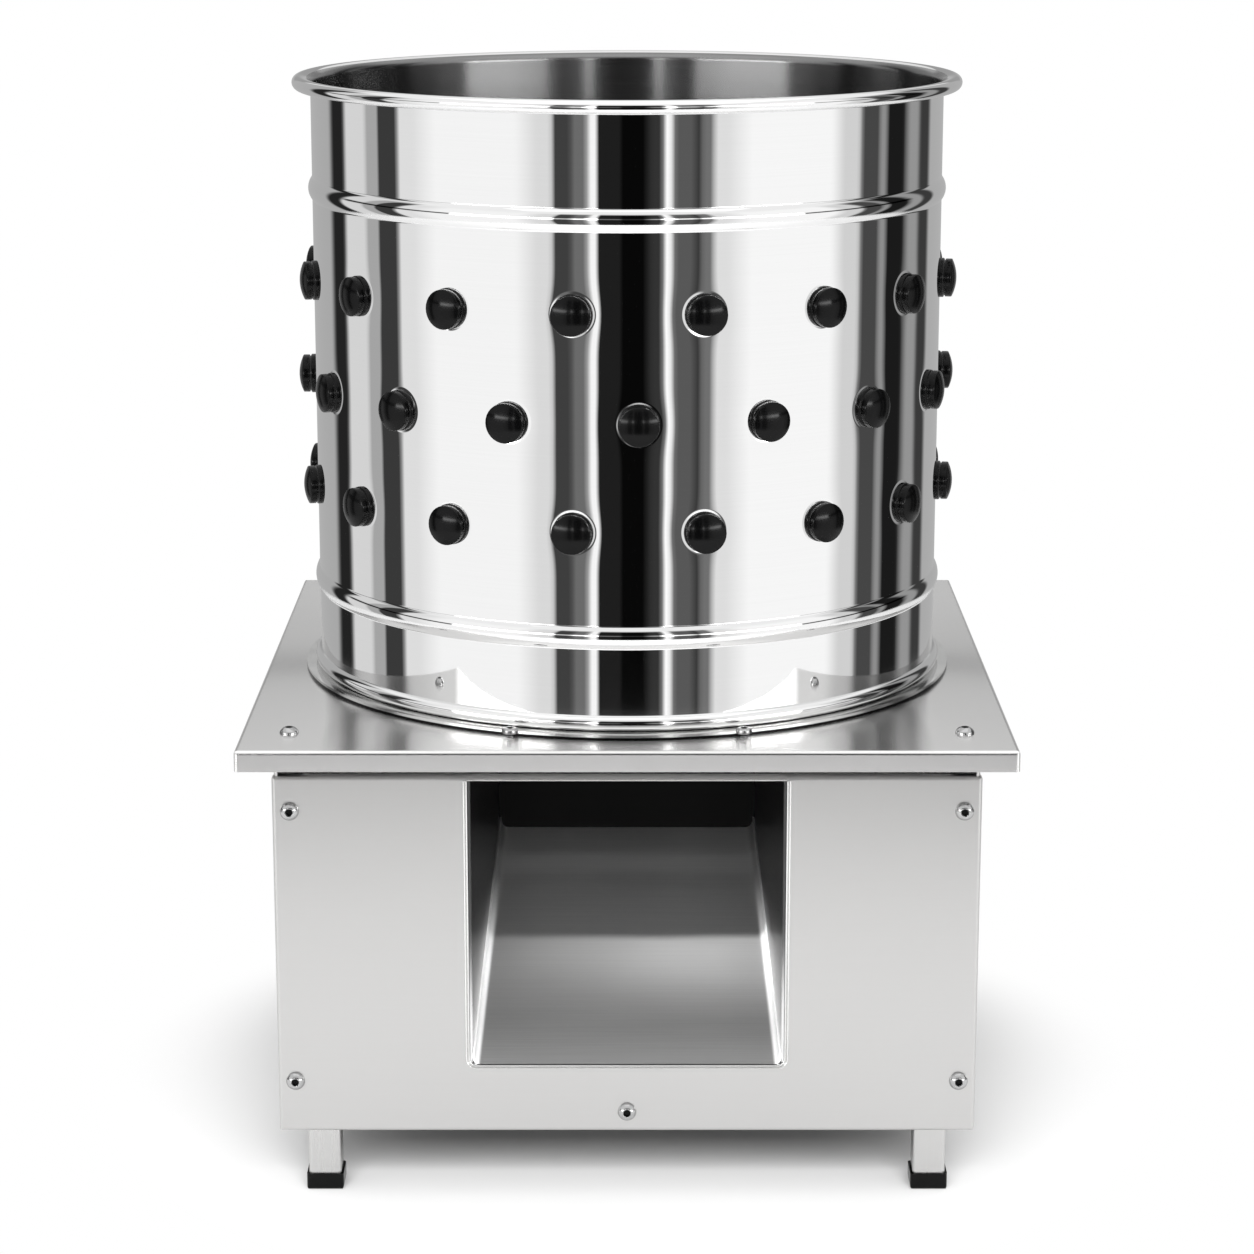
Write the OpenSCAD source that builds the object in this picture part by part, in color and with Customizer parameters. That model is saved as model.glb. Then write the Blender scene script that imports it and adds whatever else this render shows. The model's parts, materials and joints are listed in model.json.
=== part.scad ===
// Tub poultry plucker: a finger-lined drum over a turning feather plate, on a sheet-metal cabinet.
// Millimetres, +Z up. The origin is on the floor, on the drum's axis. The feather outlet faces -Y.

/* [Drum] */
// Outer radius of the drum wall
drum_r = 250; // [246:1:265]
// Height of the drum wall, from its base ring to the centre of the rolled rim
drum_h = 466; // [440:1:520]
// Sheet thickness of the drum
drum_t = 1.5; // [1:0.1:2.5]
// Radius of the rolled rim
rim_roll_r = 6; // [5:0.1:7]
// Outward step from the wall to the rolled rim
rim_step = 4; // [1:0.1:5]
// Height of a raised bead
bead_h = 17; // [12:0.5:22]
// How far a raised bead stands out
bead_out = 3.2; // [2:0.1:4.5]
// Height of the lower bead above the base ring
low_bead_z = 72; // [62:1:80]
// Distance from the upper bead down from the rim's centre
high_bead_drop = 82; // [70:1:95]
// Height of the roll at the drum's foot
foot_roll_h = 12; // [10:0.5:14]
// How far the foot roll stands out
foot_roll_out = 4.5; // [3:0.1:5.5]
// Width of the base ring outside the drum wall
flange_w = 12; // [9:0.5:13]
// Thickness of the base ring
flange_t = 2; // [1.5:0.1:4]
// Thickness of the rubber gasket under the base ring
gasket_t = 2; // [1:0.1:4]
// Sideways place of the screws that hold the base ring down
flange_screw_x = 88; // [60:1:100]

/* [Fingers] */
// Fingers in each row of the drum
row_count = 16; // [12:2:18]
// Height of the lowest finger row above the base ring
row_low_z = 152; // [140:1:165]
// Distance between finger rows
row_pitch = 81.5; // [70:0.5:90]
// Turn of the whole finger pattern from the front
row_turn = 2; // [-5:0.5:5]
// Radius of a finger's head
finger_head_r = 15; // [13:0.5:16]
// Radius of the hole that holds a finger
finger_hole_r = 9.5; // [8:0.1:10]
// Length of a finger's ribbed body
finger_len = 84; // [70:1:95]
// Ribs on a finger
finger_ribs = 7; // [4:1:9]

/* [Table and cabinet] */
// Table edge beyond the drum wall
table_margin = 42; // [40:1:60]
// Sheet thickness of the table and the cabinet
sheet_t = 1.5; // [1.2:0.1:2]
// Depth of the table's apron
apron_h = 16; // [12:0.5:22]
// Outer radius of the sheet bends
bend_r = 3; // [2.5:0.1:4]
// Table edge beyond the cabinet
table_overhang = 25; // [20:1:27]
// Height of the front panel
panel_h = 283; // [270:1:310]
// Height of the cabinet's lower edge above the floor
floor_gap = 56; // [45:1:80]
// Depth of the return folded round a panel
panel_return = 8; // [6:0.5:10]
// Width of the flanges folded inside the side panels
side_flange_w = 23; // [20:0.5:26]
// Height of the lower panel screws above the cabinet's lower edge
low_screw_z = 41; // [30:1:60]
// Distance of the upper panel screws below the panel's top
high_screw_drop = 27; // [20:1:40]
// Height of the screw under the outlet above the cabinet's lower edge
sill_screw_up = 16; // [14:1:24]
// Distance of the table screws from the cabinet's front and rear
table_screw_in = 28; // [22:1:60]

/* [Feather outlet] */
// Width of the outlet
outlet_w = 240; // [200:2:260]
// Height of the outlet's sill above the cabinet's lower edge
outlet_sill = 54; // [44:1:64]
// Strip of panel left above the outlet
outlet_head = 3.5; // [3:0.1:8]
// Width of the turned edge round the outlet
hem_w = 2.2; // [1.5:0.1:4]
// How far the turned edge stands out
hem_out = 0.8; // [0.5:0.1:1.5]
// Rise of the chute floor from its sill to its back
chute_rise = 132; // [110:1:140]
// Distance of the chute's back wall in front of the drum axis
chute_back = 70; // [66:1:80]
// Narrowing of the chute on each side, from front to back
chute_taper = 15; // [8:1:20]
// Height of the folded edges along the chute floor
chute_edge_h = 9; // [5:0.5:14]

/* [Frame] */
// Side of the square frame tube
tube_w = 25; // [22:1:26]
// Wall of the frame tube
tube_t = 2; // [1.5:0.1:3]
// Distance of the frame's faces inside the cabinet's faces
frame_inset = 20; // [18:0.5:21]
// Height of a leg's rubber boot
boot_h = 13; // [10:0.5:20]
// Wall of a leg's rubber boot
boot_t = 1.8; // [1.2:0.1:2.5]
// Thickness of a boot's sole
boot_sole = 4; // [3:0.5:6]

/* [Feather plate] */
// Gap between the plate and the drum
plate_gap = 13.5; // [10:0.5:18]
// Thickness of the plate
plate_t = 4; // [3:0.5:6]
// Height of the plate's underside above the table
plate_lift = 22; // [20:0.5:28]
// Distance of the outer ring of plate fingers from the plate's edge
ring_edge = 40; // [32:1:48]
// Distance of the inner ring of plate fingers from the hub's edge
ring_hub = 30; // [24:1:36]
// Fingers in each ring, from the inside
plate_counts = [6, 10, 14];
// Thickness of a sweep blade under the plate
sweep_t = 3; // [2:0.5:5]
// Gap between a sweep blade and the table
sweep_gap = 8; // [5:0.5:10]

/* [Drive] */
// Radius of the main shaft
shaft_r = 15; // [13:0.1:16]
// Thickness of the bearing plate and the drive plate
drive_plate_t = 8; // [6:0.5:9]
// Gap between the motor pulley and the rear base rail
pulley_rail_gap = 9; // [6:0.5:10]
// Pitch radius of the motor pulley
small_pitch_r = 30; // [28:0.5:31]
// Width of both pulleys
pulley_w = 20; // [18:0.5:21]
// Least gap between the two pulleys
pulley_gap = 9; // [6:0.5:10]
// Side of a bearing housing's square flange
bearing_w = 108; // [104:1:112]
// Outer radius of a bearing
bearing_r = 31; // [29:0.5:32]
// Outer radius of the motor's fins
motor_r = 69; // [64:1:71]
// Length of the motor's finned housing
motor_h = 122; // [100:1:130]

/* [Switch] */
// Distance of the switch and the cable gland from the rear panel's side
switch_side = 102; // [87:1:127]
// Distance of the switch's middle below the panel's top
switch_drop = 69; // [58:1:93]
// Travel of a push button
button_travel = 3; // [2:0.5:4]

/* [Hidden] */
$fn = 96;
// Clearance between fixed pieces, clearance round a turning piece and round a shank in its hole
fit_gap = 0.2;
run_gap = 0.4;
hole_gap = 0.3;
thread_gap = 0.1;
// Overlap that joins the solids of one piece, and reach of a cut past the face that it opens
join = 0.5;
cut = 1;

// Heights
base_rail_lift = 2;
panel_top = floor_gap + panel_h;
rail_top = panel_top + tube_w;
table_z = rail_top + sheet_t;
gasket_top = table_z + gasket_t;
drum_z = gasket_top + flange_t;
rim_z = drum_z + drum_h;
side_rail_top = rail_top - sheet_t;
base_rail_z = floor_gap + base_rail_lift;
drive_z = base_rail_z + tube_w;
drive_top = drive_z + drive_plate_t;
bearing_plate_z = rail_top - drive_plate_t;
plate_z = table_z + plate_lift;
plate_top = plate_z + plate_t;

// Plan sizes, each a distance from the axis
drum_in = drum_r - drum_t;
table_half = drum_r + table_margin;
cab_half = table_half - table_overhang;
side_half = cab_half - sheet_t - fit_gap;
frame_half = cab_half - frame_inset;
frame_in = frame_half - tube_w;
tube_mid = frame_half - tube_w / 2;
plate_r = drum_in - plate_gap;
flange_r = drum_r + flange_w;

// Fasteners: domed screws, round press nuts, small flange screws and hexagon bolts
button_r = 4;
button_head_r = 7.2;
button_head_h = 4.6;
button_len = 13;
button_key_r = 2.9;
nut_r = 5.8;
nut_h = 7;
small_r = 3;
small_head_h = 3.4;
small_len = 9;
small_nut_r = 4.8;
small_nut_h = 4;
small_lap = 1.2;
hex_r = 5;
hex_head_r = 9;
hex_head_h = 6.4;
panel_screw_x = side_half - side_flange_w / 2;
panel_screw_z = [floor_gap + low_screw_z, panel_top - high_screw_drop];
sill_screw_z = floor_gap + sill_screw_up;
table_screw_x = (frame_half + side_half - sheet_t) / 2;
table_screw_y = cab_half - table_screw_in;
// The base ring's screws stand clear of the ring and of the rail, and their heads lap the ring
flange_screw_reach = flange_r + small_r + 2 * hole_gap;
flange_screw_y = max(frame_half + small_nut_r + fit_gap,
    sqrt(flange_screw_reach * flange_screw_reach - flange_screw_x * flange_screw_x));
flange_screw_r = norm([flange_screw_x, flange_screw_y]);
small_head_r = flange_screw_r - flange_r + small_lap;
small_collar_r = flange_screw_r - flange_r - hole_gap;

// Chute, in its side view and its plan
sill_z = floor_gap + outlet_sill;
outlet_top = panel_top - outlet_head;
chute_front = cab_half - sheet_t;
chute_back_z = sill_z + chute_rise;
chute_half = outlet_w / 2 - fit_gap;
chute_back_half = chute_half - chute_taper;
chute_run = chute_front - chute_back;
chute_slope = atan(chute_rise / chute_run);
chute_skin = sheet_t / cos(chute_slope);
lip_below_screw = 10;
lip_z = sill_screw_z - lip_below_screw;
drop_margin = 4;
drop_half = chute_back_half - sheet_t - drop_margin / 2;
drop_front = sqrt(drum_in * drum_in - drop_half * drop_half) - 3 * drop_margin;
drop_back = chute_back + drop_margin;

// Drive
belt_half_w = 6.2;
belt_out = 2.6;
belt_in = 5.4;
belt_flank = 2.8;
belt_gap = 0.4;
rim_over_pitch = 3;
groove_floor = 9;
small_pulley_r = small_pitch_r + rim_over_pitch;
motor_y = frame_in - small_pulley_r - pulley_rail_gap;
large_r = motor_y - small_pulley_r - pulley_gap;
large_pitch_r = large_r - rim_over_pitch;
pulley_clear = 1.5;
pulley_top = drive_z - pulley_clear;
belt_z = pulley_top - pulley_w / 2;
belt_angle = asin((large_pitch_r - small_pitch_r) / motor_y);
belt_run = motor_y * cos(belt_angle);
inner_ring_w = 5;
insert_r = shaft_r + inner_ring_w;
spacer_r = insert_r;
shaft_tail = 4;
shaft_bottom = pulley_top - pulley_w - shaft_tail;
clip_t = 1.75;
clip_depth = 0.8;
clip_w = 3;
clip_mouth = 6;
key_w = 8;
key_h = 7;
key_sunk = 4;
hub_flange_r = 55;
hub_flange_t = 8;
hub_boss_r = 26;
hub_boss_h = 8;
ring_in = hub_flange_r + ring_hub;
ring_out = plate_r - ring_edge;
plate_rings = [ring_in, (ring_in + ring_out) / 2, ring_out];
plate_nut_r = 21;
plate_nut_h = 14;
stud_r = 12;
plate_washer_r = 30;
plate_washer_t = 4;

// Bearing housings
bearing_flange_t = 13;
bearing_wall = 9;
bearing_boss_r = bearing_r + bearing_wall;
bearing_h = 31;
bearing_ring_w = 18;
bearing_ring_t = 4;
bearing_lip = 6;
bearing_corner_r = 12;
bearing_bolt_edge = 12.5;
bearing_pitch = bearing_w - 2 * bearing_bolt_edge;
bearing_bolt_reach = 6;
// Reach of an inner ring past its outer ring, and free holes round it
ring_reach = 4;
plate_hole_clear = 2;
lip_hole_clear = 3;
plate_hole_r = insert_r + plate_hole_clear;
lip_hole_r = insert_r + lip_hole_clear;
// Front edge of the two drive plates behind the chute, and the place of the drive plate's own bolts
chute_clear = 8;
drive_front = chute_back - chute_clear;
plate_bolt_in = 22;

// Motor, measured up from the drive plate
shield_r = 60;
shield_h = 20;
spigot_r = 40;
motor_wall = 6;
fin_count = 24;
fin_t = 2.4;
fin_end = 4;
motor_bolt_pcd = 100;
motor_bolt_r = 3;
motor_bolt_depth = 10;
motor_slot = 8;
motor_shaft_r = 9.5;
motor_shaft_hole_r = 10.5;
motor_bearing_run = 0.05;
motor_bearing_r = 23.5;
motor_bearing_w = 14;
rotor_r = 37;
stator_gap = 0.5;
stator_in = rotor_r + stator_gap;
core_margin = 16;
fan_r = 50;
fan_h = 20;
cover_h = 46;
cover_t = 1.2;
cover_lap = 8;
fan_gap = 5;
stator_z = drive_top + shield_h;
upper_shield_z = stator_z + motor_h;
motor_top = upper_shield_z + shield_h;
fan_z = motor_top + fan_gap;

// Switch
switch_x = cab_half - switch_side;
switch_w = 44;
switch_h = 76;
switch_t = 6;
switch_depth = 42;
switch_wall = 3;
switch_lap = 5;
switch_cut_lap = 4;
switch_corner_r = 4;
button_pitch = 32;
push_r = 11;
push_h = 7;
switch_mid_z = panel_top - switch_drop;
gland_up = 60;
gland_z = floor_gap + gland_up;
gland_r = 10;

// Colours
polished = [0.86, 0.87, 0.88];
satin = [0.74, 0.74, 0.73];
black_rubber = [0.05, 0.05, 0.05];
machined = [0.62, 0.63, 0.65];
cast_grey = [0.33, 0.36, 0.38];
motor_paint = [0.20, 0.32, 0.42];

// Rectangle with round corners, about the origin
module round_rect(w, h, r) {
    square([w - 2 * r, h], center = true);
    square([w, h - 2 * r], center = true);
    for (x = [-1, 1], y = [-1, 1])
        translate([x * (w / 2 - r), y * (h / 2 - r)]) circle(r);
}

// Ring about the Z axis
module ring(outer, inner, h) {
    difference() {
        cylinder(r = outer, h = h);
        translate([0, 0, -cut]) cylinder(r = inner, h = h + 2 * cut);
    }
}

// Block with its upper edges and its upright corners rounded, standing on z = 0
module soft_block(w, d, h, r) {
    intersection() {
        linear_extrude(h) round_rect(w, d, r);
        rotate([90, 0, 0]) linear_extrude(d, center = true) translate([0, h / 2 - r])
            round_rect(w, h + 2 * r, r);
        rotate([90, 0, 90]) linear_extrude(w, center = true) translate([0, h / 2 - r])
            round_rect(d, h + 2 * r, r);
    }
}

// Sheet folded down on all four sides: a pan whose outer face is at z = h
module folded_pan(w, d, h) {
    difference() {
        soft_block(w, d, h, bend_r);
        translate([0, 0, -cut])
            soft_block(w - 2 * sheet_t, d - 2 * sheet_t, h - sheet_t + cut, bend_r - sheet_t);
    }
}

// Turns a shape's Z axis to face the front (-Y) or the rear (+Y)
module face_front() { rotate([90, 0, 0]) children(); }
module face_rear() { rotate([0, 0, 180]) rotate([90, 0, 0]) children(); }

// Lays out children at four mirrored places
module four(x, y) {
    for (sx = [-1, 1], sy = [-1, 1]) translate([sx * x, sy * y, 0]) children();
}

// Drum

// Bulge pressed out of the wall: a round arc of the given height and reach, and its hollow
function bulge_r(h, out) = (h * h / 4 + out * out) / (2 * out);

module bulge(z, h, out) {
    arc = bulge_r(h, out);
    intersection() {
        translate([drum_r + out - arc, z]) circle(arc);
        translate([drum_in, z - h / 2]) square([2 * out + drum_t, h]);
    }
}

module bulge_hollow(z, h, out) {
    arc = bulge_r(h, out);
    translate([drum_r + out - arc, z]) circle(arc - drum_t);
}

module drum_profile() {
    roll_x = drum_in + rim_step + rim_roll_r;
    neck_z = rim_z - 2 * rim_roll_r;
    difference() {
        union() {
            translate([drum_in, drum_z]) square([drum_t, neck_z - drum_z]);
            polygon([[drum_in, neck_z - cut], [drum_r, neck_z - cut], [drum_r, neck_z],
                [drum_r + rim_step, rim_z], [drum_in + rim_step, rim_z], [drum_in, neck_z]]);
            translate([roll_x, rim_z]) circle(rim_roll_r);
            bulge(drum_z + low_bead_z, bead_h, bead_out);
            bulge(rim_z - high_bead_drop, bead_h, bead_out);
            bulge(drum_z + foot_roll_h / 2, foot_roll_h, foot_roll_out);
        }
        translate([roll_x, rim_z]) circle(rim_roll_r - drum_t);
        bulge_hollow(drum_z + low_bead_z, bead_h, bead_out);
        bulge_hollow(rim_z - high_bead_drop, bead_h, bead_out);
        bulge_hollow(drum_z + foot_roll_h / 2, foot_roll_h, foot_roll_out);
    }
}

function row_z(i) = drum_z + row_low_z + i * row_pitch;
function row_phase(i) = row_turn + (i == 1 ? 0 : 180 / row_count);

// Places children at each finger of row i, with Z pointing out of the wall
module at_row(i) {
    for (k = [0 : row_count - 1])
        rotate([0, 0, row_phase(i) + k * 360 / row_count])
            translate([0, -drum_r, row_z(i)]) face_front() children();
}

module drum() {
    color(polished) difference() {
        rotate_extrude() drum_profile();
        for (i = [0 : 2])
            at_row(i) translate([0, 0, -3 * drum_t]) cylinder(r = finger_hole_r, h = 6 * drum_t);
    }
}

module drum_flange() {
    color(polished) translate([0, 0, gasket_top]) ring(flange_r, drum_in, flange_t);
}

module drum_gasket() {
    color(black_rubber) translate([0, 0, table_z]) ring(flange_r, drum_in, gasket_t);
}

// Shouldered screws that stand on the table and lap the base ring with their domed heads
module flange_screws() {
    dome = bulge_r(2 * small_head_r, small_head_h);
    color(polished) four(flange_screw_x, flange_screw_y) {
        translate([0, 0, drum_z]) rotate_extrude() intersection() {
            translate([0, small_head_h - dome]) circle(dome);
            square([small_head_r, small_head_h]);
        }
        translate([0, 0, table_z]) cylinder(r = small_collar_r, h = drum_z - table_z + join);
        translate([0, 0, table_z - small_len]) cylinder(r = small_r - thread_gap, h = small_len + join);
    }
}

module flange_nuts() {
    color(machined) four(flange_screw_x, flange_screw_y)
        translate([0, 0, rail_top - small_nut_h]) ring(small_nut_r, small_r, small_nut_h);
}

// Rubber fingers

// One finger along Z: its wall of thickness w lies below z = 0, its head above, its body below
module finger(w) {
    neck_r = finger_hole_r - fit_gap;
    collar_r = finger_head_r + 0.5;
    groove_r = finger_head_r - 1;
    collar_h = 4;
    groove_h = 1;
    cap_z = collar_h + groove_h;
    cap_h = 5;
    dome_h = 3.6;
    dome_r = bulge_r(2 * finger_head_r, dome_h);
    seat_z = -w - join;
    shoulder_h = 4;
    body_z = seat_z - shoulder_h;
    tip_z = body_z - finger_len;
    root_over = 0.3;
    root_r = finger_hole_r + root_over;
    finger_taper = 2.2;
    tip_bevel = 3;
    tip_r = root_r - finger_taper;
    rib = finger_len / (finger_ribs + 1);
    rib_out = 1.3;
    body_step = (root_r - tip_r) / (finger_ribs + 1);
    rotate_extrude() {
        translate([0, seat_z - join]) square([neck_r, -seat_z + 2 * join]);
        square([collar_r, collar_h]);
        translate([0, collar_h - join]) square([groove_r, groove_h + 2 * join]);
        translate([0, cap_z]) square([finger_head_r, cap_h]);
        intersection() {
            translate([0, cap_z + cap_h + dome_h - dome_r]) circle(dome_r);
            translate([0, cap_z + cap_h - join]) square([finger_head_r, dome_h + 2 * join]);
        }
        translate([0, body_z]) square([root_r + rib_out, shoulder_h]);
        polygon(concat(
            [[0, tip_z], [tip_r - tip_bevel, tip_z], [tip_r, tip_z + tip_bevel]],
            [for (i = [finger_ribs : -1 : 1]) let (z = body_z - i * rib, r = root_r - i * body_step)
                each [[r, z - 0.3 * rib], [r + rib_out, z - 0.1 * rib], [r + rib_out, z + 0.15 * rib],
                    [r, z + 0.35 * rib]]],
            [[root_r, body_z + join], [0, body_z + join]]));
    }
}

module finger_row(i) {
    color(black_rubber) at_row(i) finger(drum_t);
}

module finger_row_low() { finger_row(0); }
module finger_row_mid() { finger_row(1); }
module finger_row_high() { finger_row(2); }

// Table

module table() {
    hem_in = 12;
    color(satin) difference() {
        union() {
            translate([0, 0, table_z - apron_h])
                folded_pan(2 * table_half, 2 * table_half, apron_h);
            // hem turned in along the aprons' lower edges
            translate([0, 0, table_z - apron_h]) linear_extrude(sheet_t) difference() {
                round_rect(2 * table_half, 2 * table_half, bend_r);
                square(2 * (table_half - hem_in), center = true);
            }
        }
        translate([0, 0, table_z - sheet_t - cut]) {
            cylinder(r = spacer_r, h = sheet_t + 2 * cut);
            translate([-drop_half, -drop_front, 0])
                cube([2 * drop_half, drop_front - drop_back, sheet_t + 2 * cut]);
            four(table_screw_x, table_screw_y) cylinder(r = button_r + hole_gap, h = sheet_t + 2 * cut);
            four(flange_screw_x, flange_screw_y) cylinder(r = small_r + hole_gap, h = sheet_t + 2 * cut);
        }
    }
}

// Domed screw with a hexagon socket: its head stands on z = 0 and its shank hangs below
module button_screw() {
    dome = bulge_r(2 * button_head_r, button_head_h);
    difference() {
        union() {
            rotate_extrude() intersection() {
                translate([0, button_head_h - dome]) circle(dome);
                square([button_head_r, button_head_h]);
            }
            translate([0, 0, -button_len]) cylinder(r = button_r - thread_gap, h = button_len + join);
        }
        translate([0, 0, button_head_h / 2]) cylinder(r = button_key_r, h = button_head_h, $fn = 6);
    }
}

// Places children at the front panel's, the rear panel's and the table's screws, with Z outward
module at_front_screws() {
    for (x = [-1, 1], z = panel_screw_z)
        translate([x * panel_screw_x, -cab_half, z]) face_front() children();
    translate([0, -cab_half, sill_screw_z]) face_front() children();
}

module at_rear_screws() {
    for (x = [-1, 1], z = panel_screw_z)
        translate([x * panel_screw_x, cab_half, z]) face_rear() children();
}

module at_table_screws() {
    four(table_screw_x, table_screw_y) translate([0, 0, table_z]) children();
}

module button_screws() {
    color(polished) {
        at_front_screws() button_screw();
        at_rear_screws() button_screw();
        at_table_screws() button_screw();
    }
}

// Round nut pressed into the inner sheet of each joint
module insert_nut(grip) {
    translate([0, 0, -grip - nut_h]) ring(nut_r, button_r, nut_h);
}

module insert_nuts() {
    panel_grip = cab_half - side_half + sheet_t;
    color(machined) {
        for (x = [-1, 1], z = panel_screw_z) {
            translate([x * panel_screw_x, -cab_half, z]) face_front() insert_nut(panel_grip);
            translate([x * panel_screw_x, cab_half, z]) face_rear() insert_nut(panel_grip);
        }
        translate([0, -cab_half, sill_screw_z]) face_front() insert_nut(2 * sheet_t);
        at_table_screws() insert_nut(2 * sheet_t);
    }
}

module screw_hole() {
    translate([0, 0, -button_len]) cylinder(r = button_r + hole_gap, h = button_len + cut);
}

// Cabinet panels

// Pan whose upper return is notched for the side panels' walls
module panel_pan() {
    notch_in = side_half - bend_r - fit_gap;
    difference() {
        translate([0, -cab_half + panel_return, floor_gap + panel_h / 2]) face_front()
            folded_pan(2 * cab_half, panel_h, panel_return);
        for (m = [0, 1]) mirror([m, 0, 0]) translate([notch_in, sheet_t - cab_half, panel_top - bend_r])
            cube([cab_half - sheet_t - notch_in, panel_return, bend_r + cut]);
    }
}

module front_panel() {
    color(satin) difference() {
        panel_pan();
        translate([-outlet_w / 2, -cab_half - cut, sill_z])
            cube([outlet_w, sheet_t + 2 * cut, outlet_top - sill_z]);
        at_front_screws() screw_hole();
    }
}

// Turned edge standing proud of the panel along the outlet's sides and sill
module opening_hem() {
    color(polished) translate([0, -cab_half, 0]) face_front() linear_extrude(hem_out) difference() {
        translate([-outlet_w / 2 - hem_w, sill_z - hem_w])
            square([outlet_w + 2 * hem_w, outlet_top - sill_z + hem_w]);
        translate([-outlet_w / 2, sill_z]) square([outlet_w, outlet_top - sill_z + cut]);
    }
}

module rear_panel() {
    vent_w = 60;
    vent_h = 5;
    vent_step = 14;
    vent_x = 45;
    vent_rows = 6;
    vent_z = floor_gap + (panel_h - (vent_rows - 1) * vent_step) / 2;
    cut_w = switch_w - 2 * switch_cut_lap;
    cut_h = switch_h - 2 * switch_cut_lap;
    color(satin) difference() {
        rotate([0, 0, 180]) panel_pan();
        at_rear_screws() screw_hole();
        for (x = [-1, 1], i = [0 : vent_rows - 1])
            translate([x * vent_x, cab_half + cut, vent_z + i * vent_step]) rotate([90, 0, 0])
                linear_extrude(sheet_t + 2 * cut) round_rect(vent_w, vent_h, vent_h / 2 - join);
        translate([switch_x - cut_w / 2, cab_half - sheet_t - cut, switch_mid_z - cut_h / 2])
            cube([cut_w, sheet_t + 2 * cut, cut_h]);
        translate([switch_x, cab_half + cut, gland_z]) rotate([90, 0, 0])
            cylinder(r = gland_r + fit_gap, h = sheet_t + 2 * cut);
    }
}

// Right-hand side panel: a wall with flanges folded in at the front, the rear, the top and the foot
module side_panel() {
    foot = floor_gap + sheet_t + fit_gap;
    top_in = side_half - side_flange_w;
    frame_clear = 3;
    foot_w = frame_inset - frame_clear;
    difference() {
        union() {
            translate([0, 0, foot]) linear_extrude(rail_top - foot) intersection() {
                difference() {
                    round_rect(2 * side_half, 2 * side_half, bend_r);
                    round_rect(2 * (side_half - sheet_t), 2 * (side_half - sheet_t), bend_r - sheet_t);
                }
                translate([top_in, -side_half]) square([side_flange_w, 2 * side_half]);
            }
            translate([top_in, -side_half + bend_r, rail_top - sheet_t])
                cube([side_flange_w - join, 2 * (side_half - bend_r), sheet_t]);
            translate([side_half - foot_w, -side_half + bend_r, foot])
                cube([foot_w - join, 2 * (side_half - bend_r), sheet_t]);
        }
        // the end flanges stop under the panels' upper returns
        for (m = [0, 1]) mirror([0, m, 0])
            translate([top_in - cut, -side_half - cut, panel_top - sheet_t - fit_gap])
                cube([side_flange_w - bend_r + cut, sheet_t + 2 * cut, panel_h]);
        at_front_screws() screw_hole();
        at_rear_screws() screw_hole();
        at_table_screws() screw_hole();
    }
}

module side_panel_right() { color(satin) side_panel(); }
module side_panel_left() { color(satin) mirror([1, 0, 0]) side_panel(); }

// Feather chute

// Wedge in plan: the space between the chute's walls, grown sideways by g
module chute_plan(g) {
    polygon([[-chute_half - g, -chute_front], [chute_half + g, -chute_front],
        [chute_back_half + g, -chute_back], [-chute_back_half - g, -chute_back]]);
}

// Extrudes a side view drawn in Y and Z across the whole width
module side_view() {
    rotate([90, 0, 90]) linear_extrude(2 * cab_half, center = true) children();
}

// Sloped floor with its edges folded up, and a lip folded down behind the panel
module chute_floor() {
    inner = -sheet_t - fit_gap;
    back = -chute_back + inner;
    back_z = chute_back_z + inner * tan(chute_slope);
    color(satin) {
        difference() {
            intersection() {
                translate([0, 0, lip_z]) linear_extrude(rail_top) chute_plan(inner);
                side_view() polygon([[-chute_front, sill_z - chute_skin], [back, back_z - chute_skin],
                    [back, back_z + chute_edge_h], [-chute_front, sill_z + chute_edge_h]]);
            }
            intersection() {
                translate([0, 0, lip_z]) linear_extrude(rail_top) chute_plan(inner - sheet_t);
                side_view() polygon([[-chute_front - cut, sill_z - cut * tan(chute_slope)],
                    [-chute_back + cut, chute_back_z + cut * tan(chute_slope)],
                    [-chute_back + cut, rail_top], [-chute_front - cut, rail_top]]);
            }
        }
        difference() {
            translate([-chute_half - inner, -chute_front, lip_z])
                cube([2 * (chute_half + inner), sheet_t, sill_z - lip_z]);
            at_front_screws() screw_hole();
        }
    }
}

// Upright side walls and back wall, stepped down under the front rail
module chute_walls() {
    under_rail = rail_top - tube_w - sheet_t;
    behind_rail = -frame_in + fit_gap;
    foot = 2 * sheet_t;
    color(satin) difference() {
        intersection() {
            translate([0, 0, lip_z]) linear_extrude(rail_top) chute_plan(0);
            side_view() polygon([[-chute_front, sill_z - foot], [-chute_back, chute_back_z - foot],
                [-chute_back, rail_top], [behind_rail, rail_top], [behind_rail, under_rail],
                [-chute_front, under_rail]]);
        }
        translate([0, -sheet_t, lip_z]) linear_extrude(rail_top) intersection() {
            chute_plan(-sheet_t);
            translate([-cab_half, -cab_half - cut]) square([2 * cab_half, cab_half]);
        }
        translate([0, -chute_front, lip_z]) linear_extrude(rail_top)
            square([2 * (chute_half - sheet_t), 4 * sheet_t], center = true);
    }
}

// Frame

module tube_section() {
    difference() {
        round_rect(tube_w, tube_w, bend_r);
        round_rect(tube_w - 2 * tube_t, tube_w - 2 * tube_t, bend_r - tube_t / 2);
    }
}

module legs() {
    color(satin) four(tube_mid, tube_mid) translate([0, 0, boot_sole])
        linear_extrude(side_rail_top - boot_sole) tube_section();
}

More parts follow.
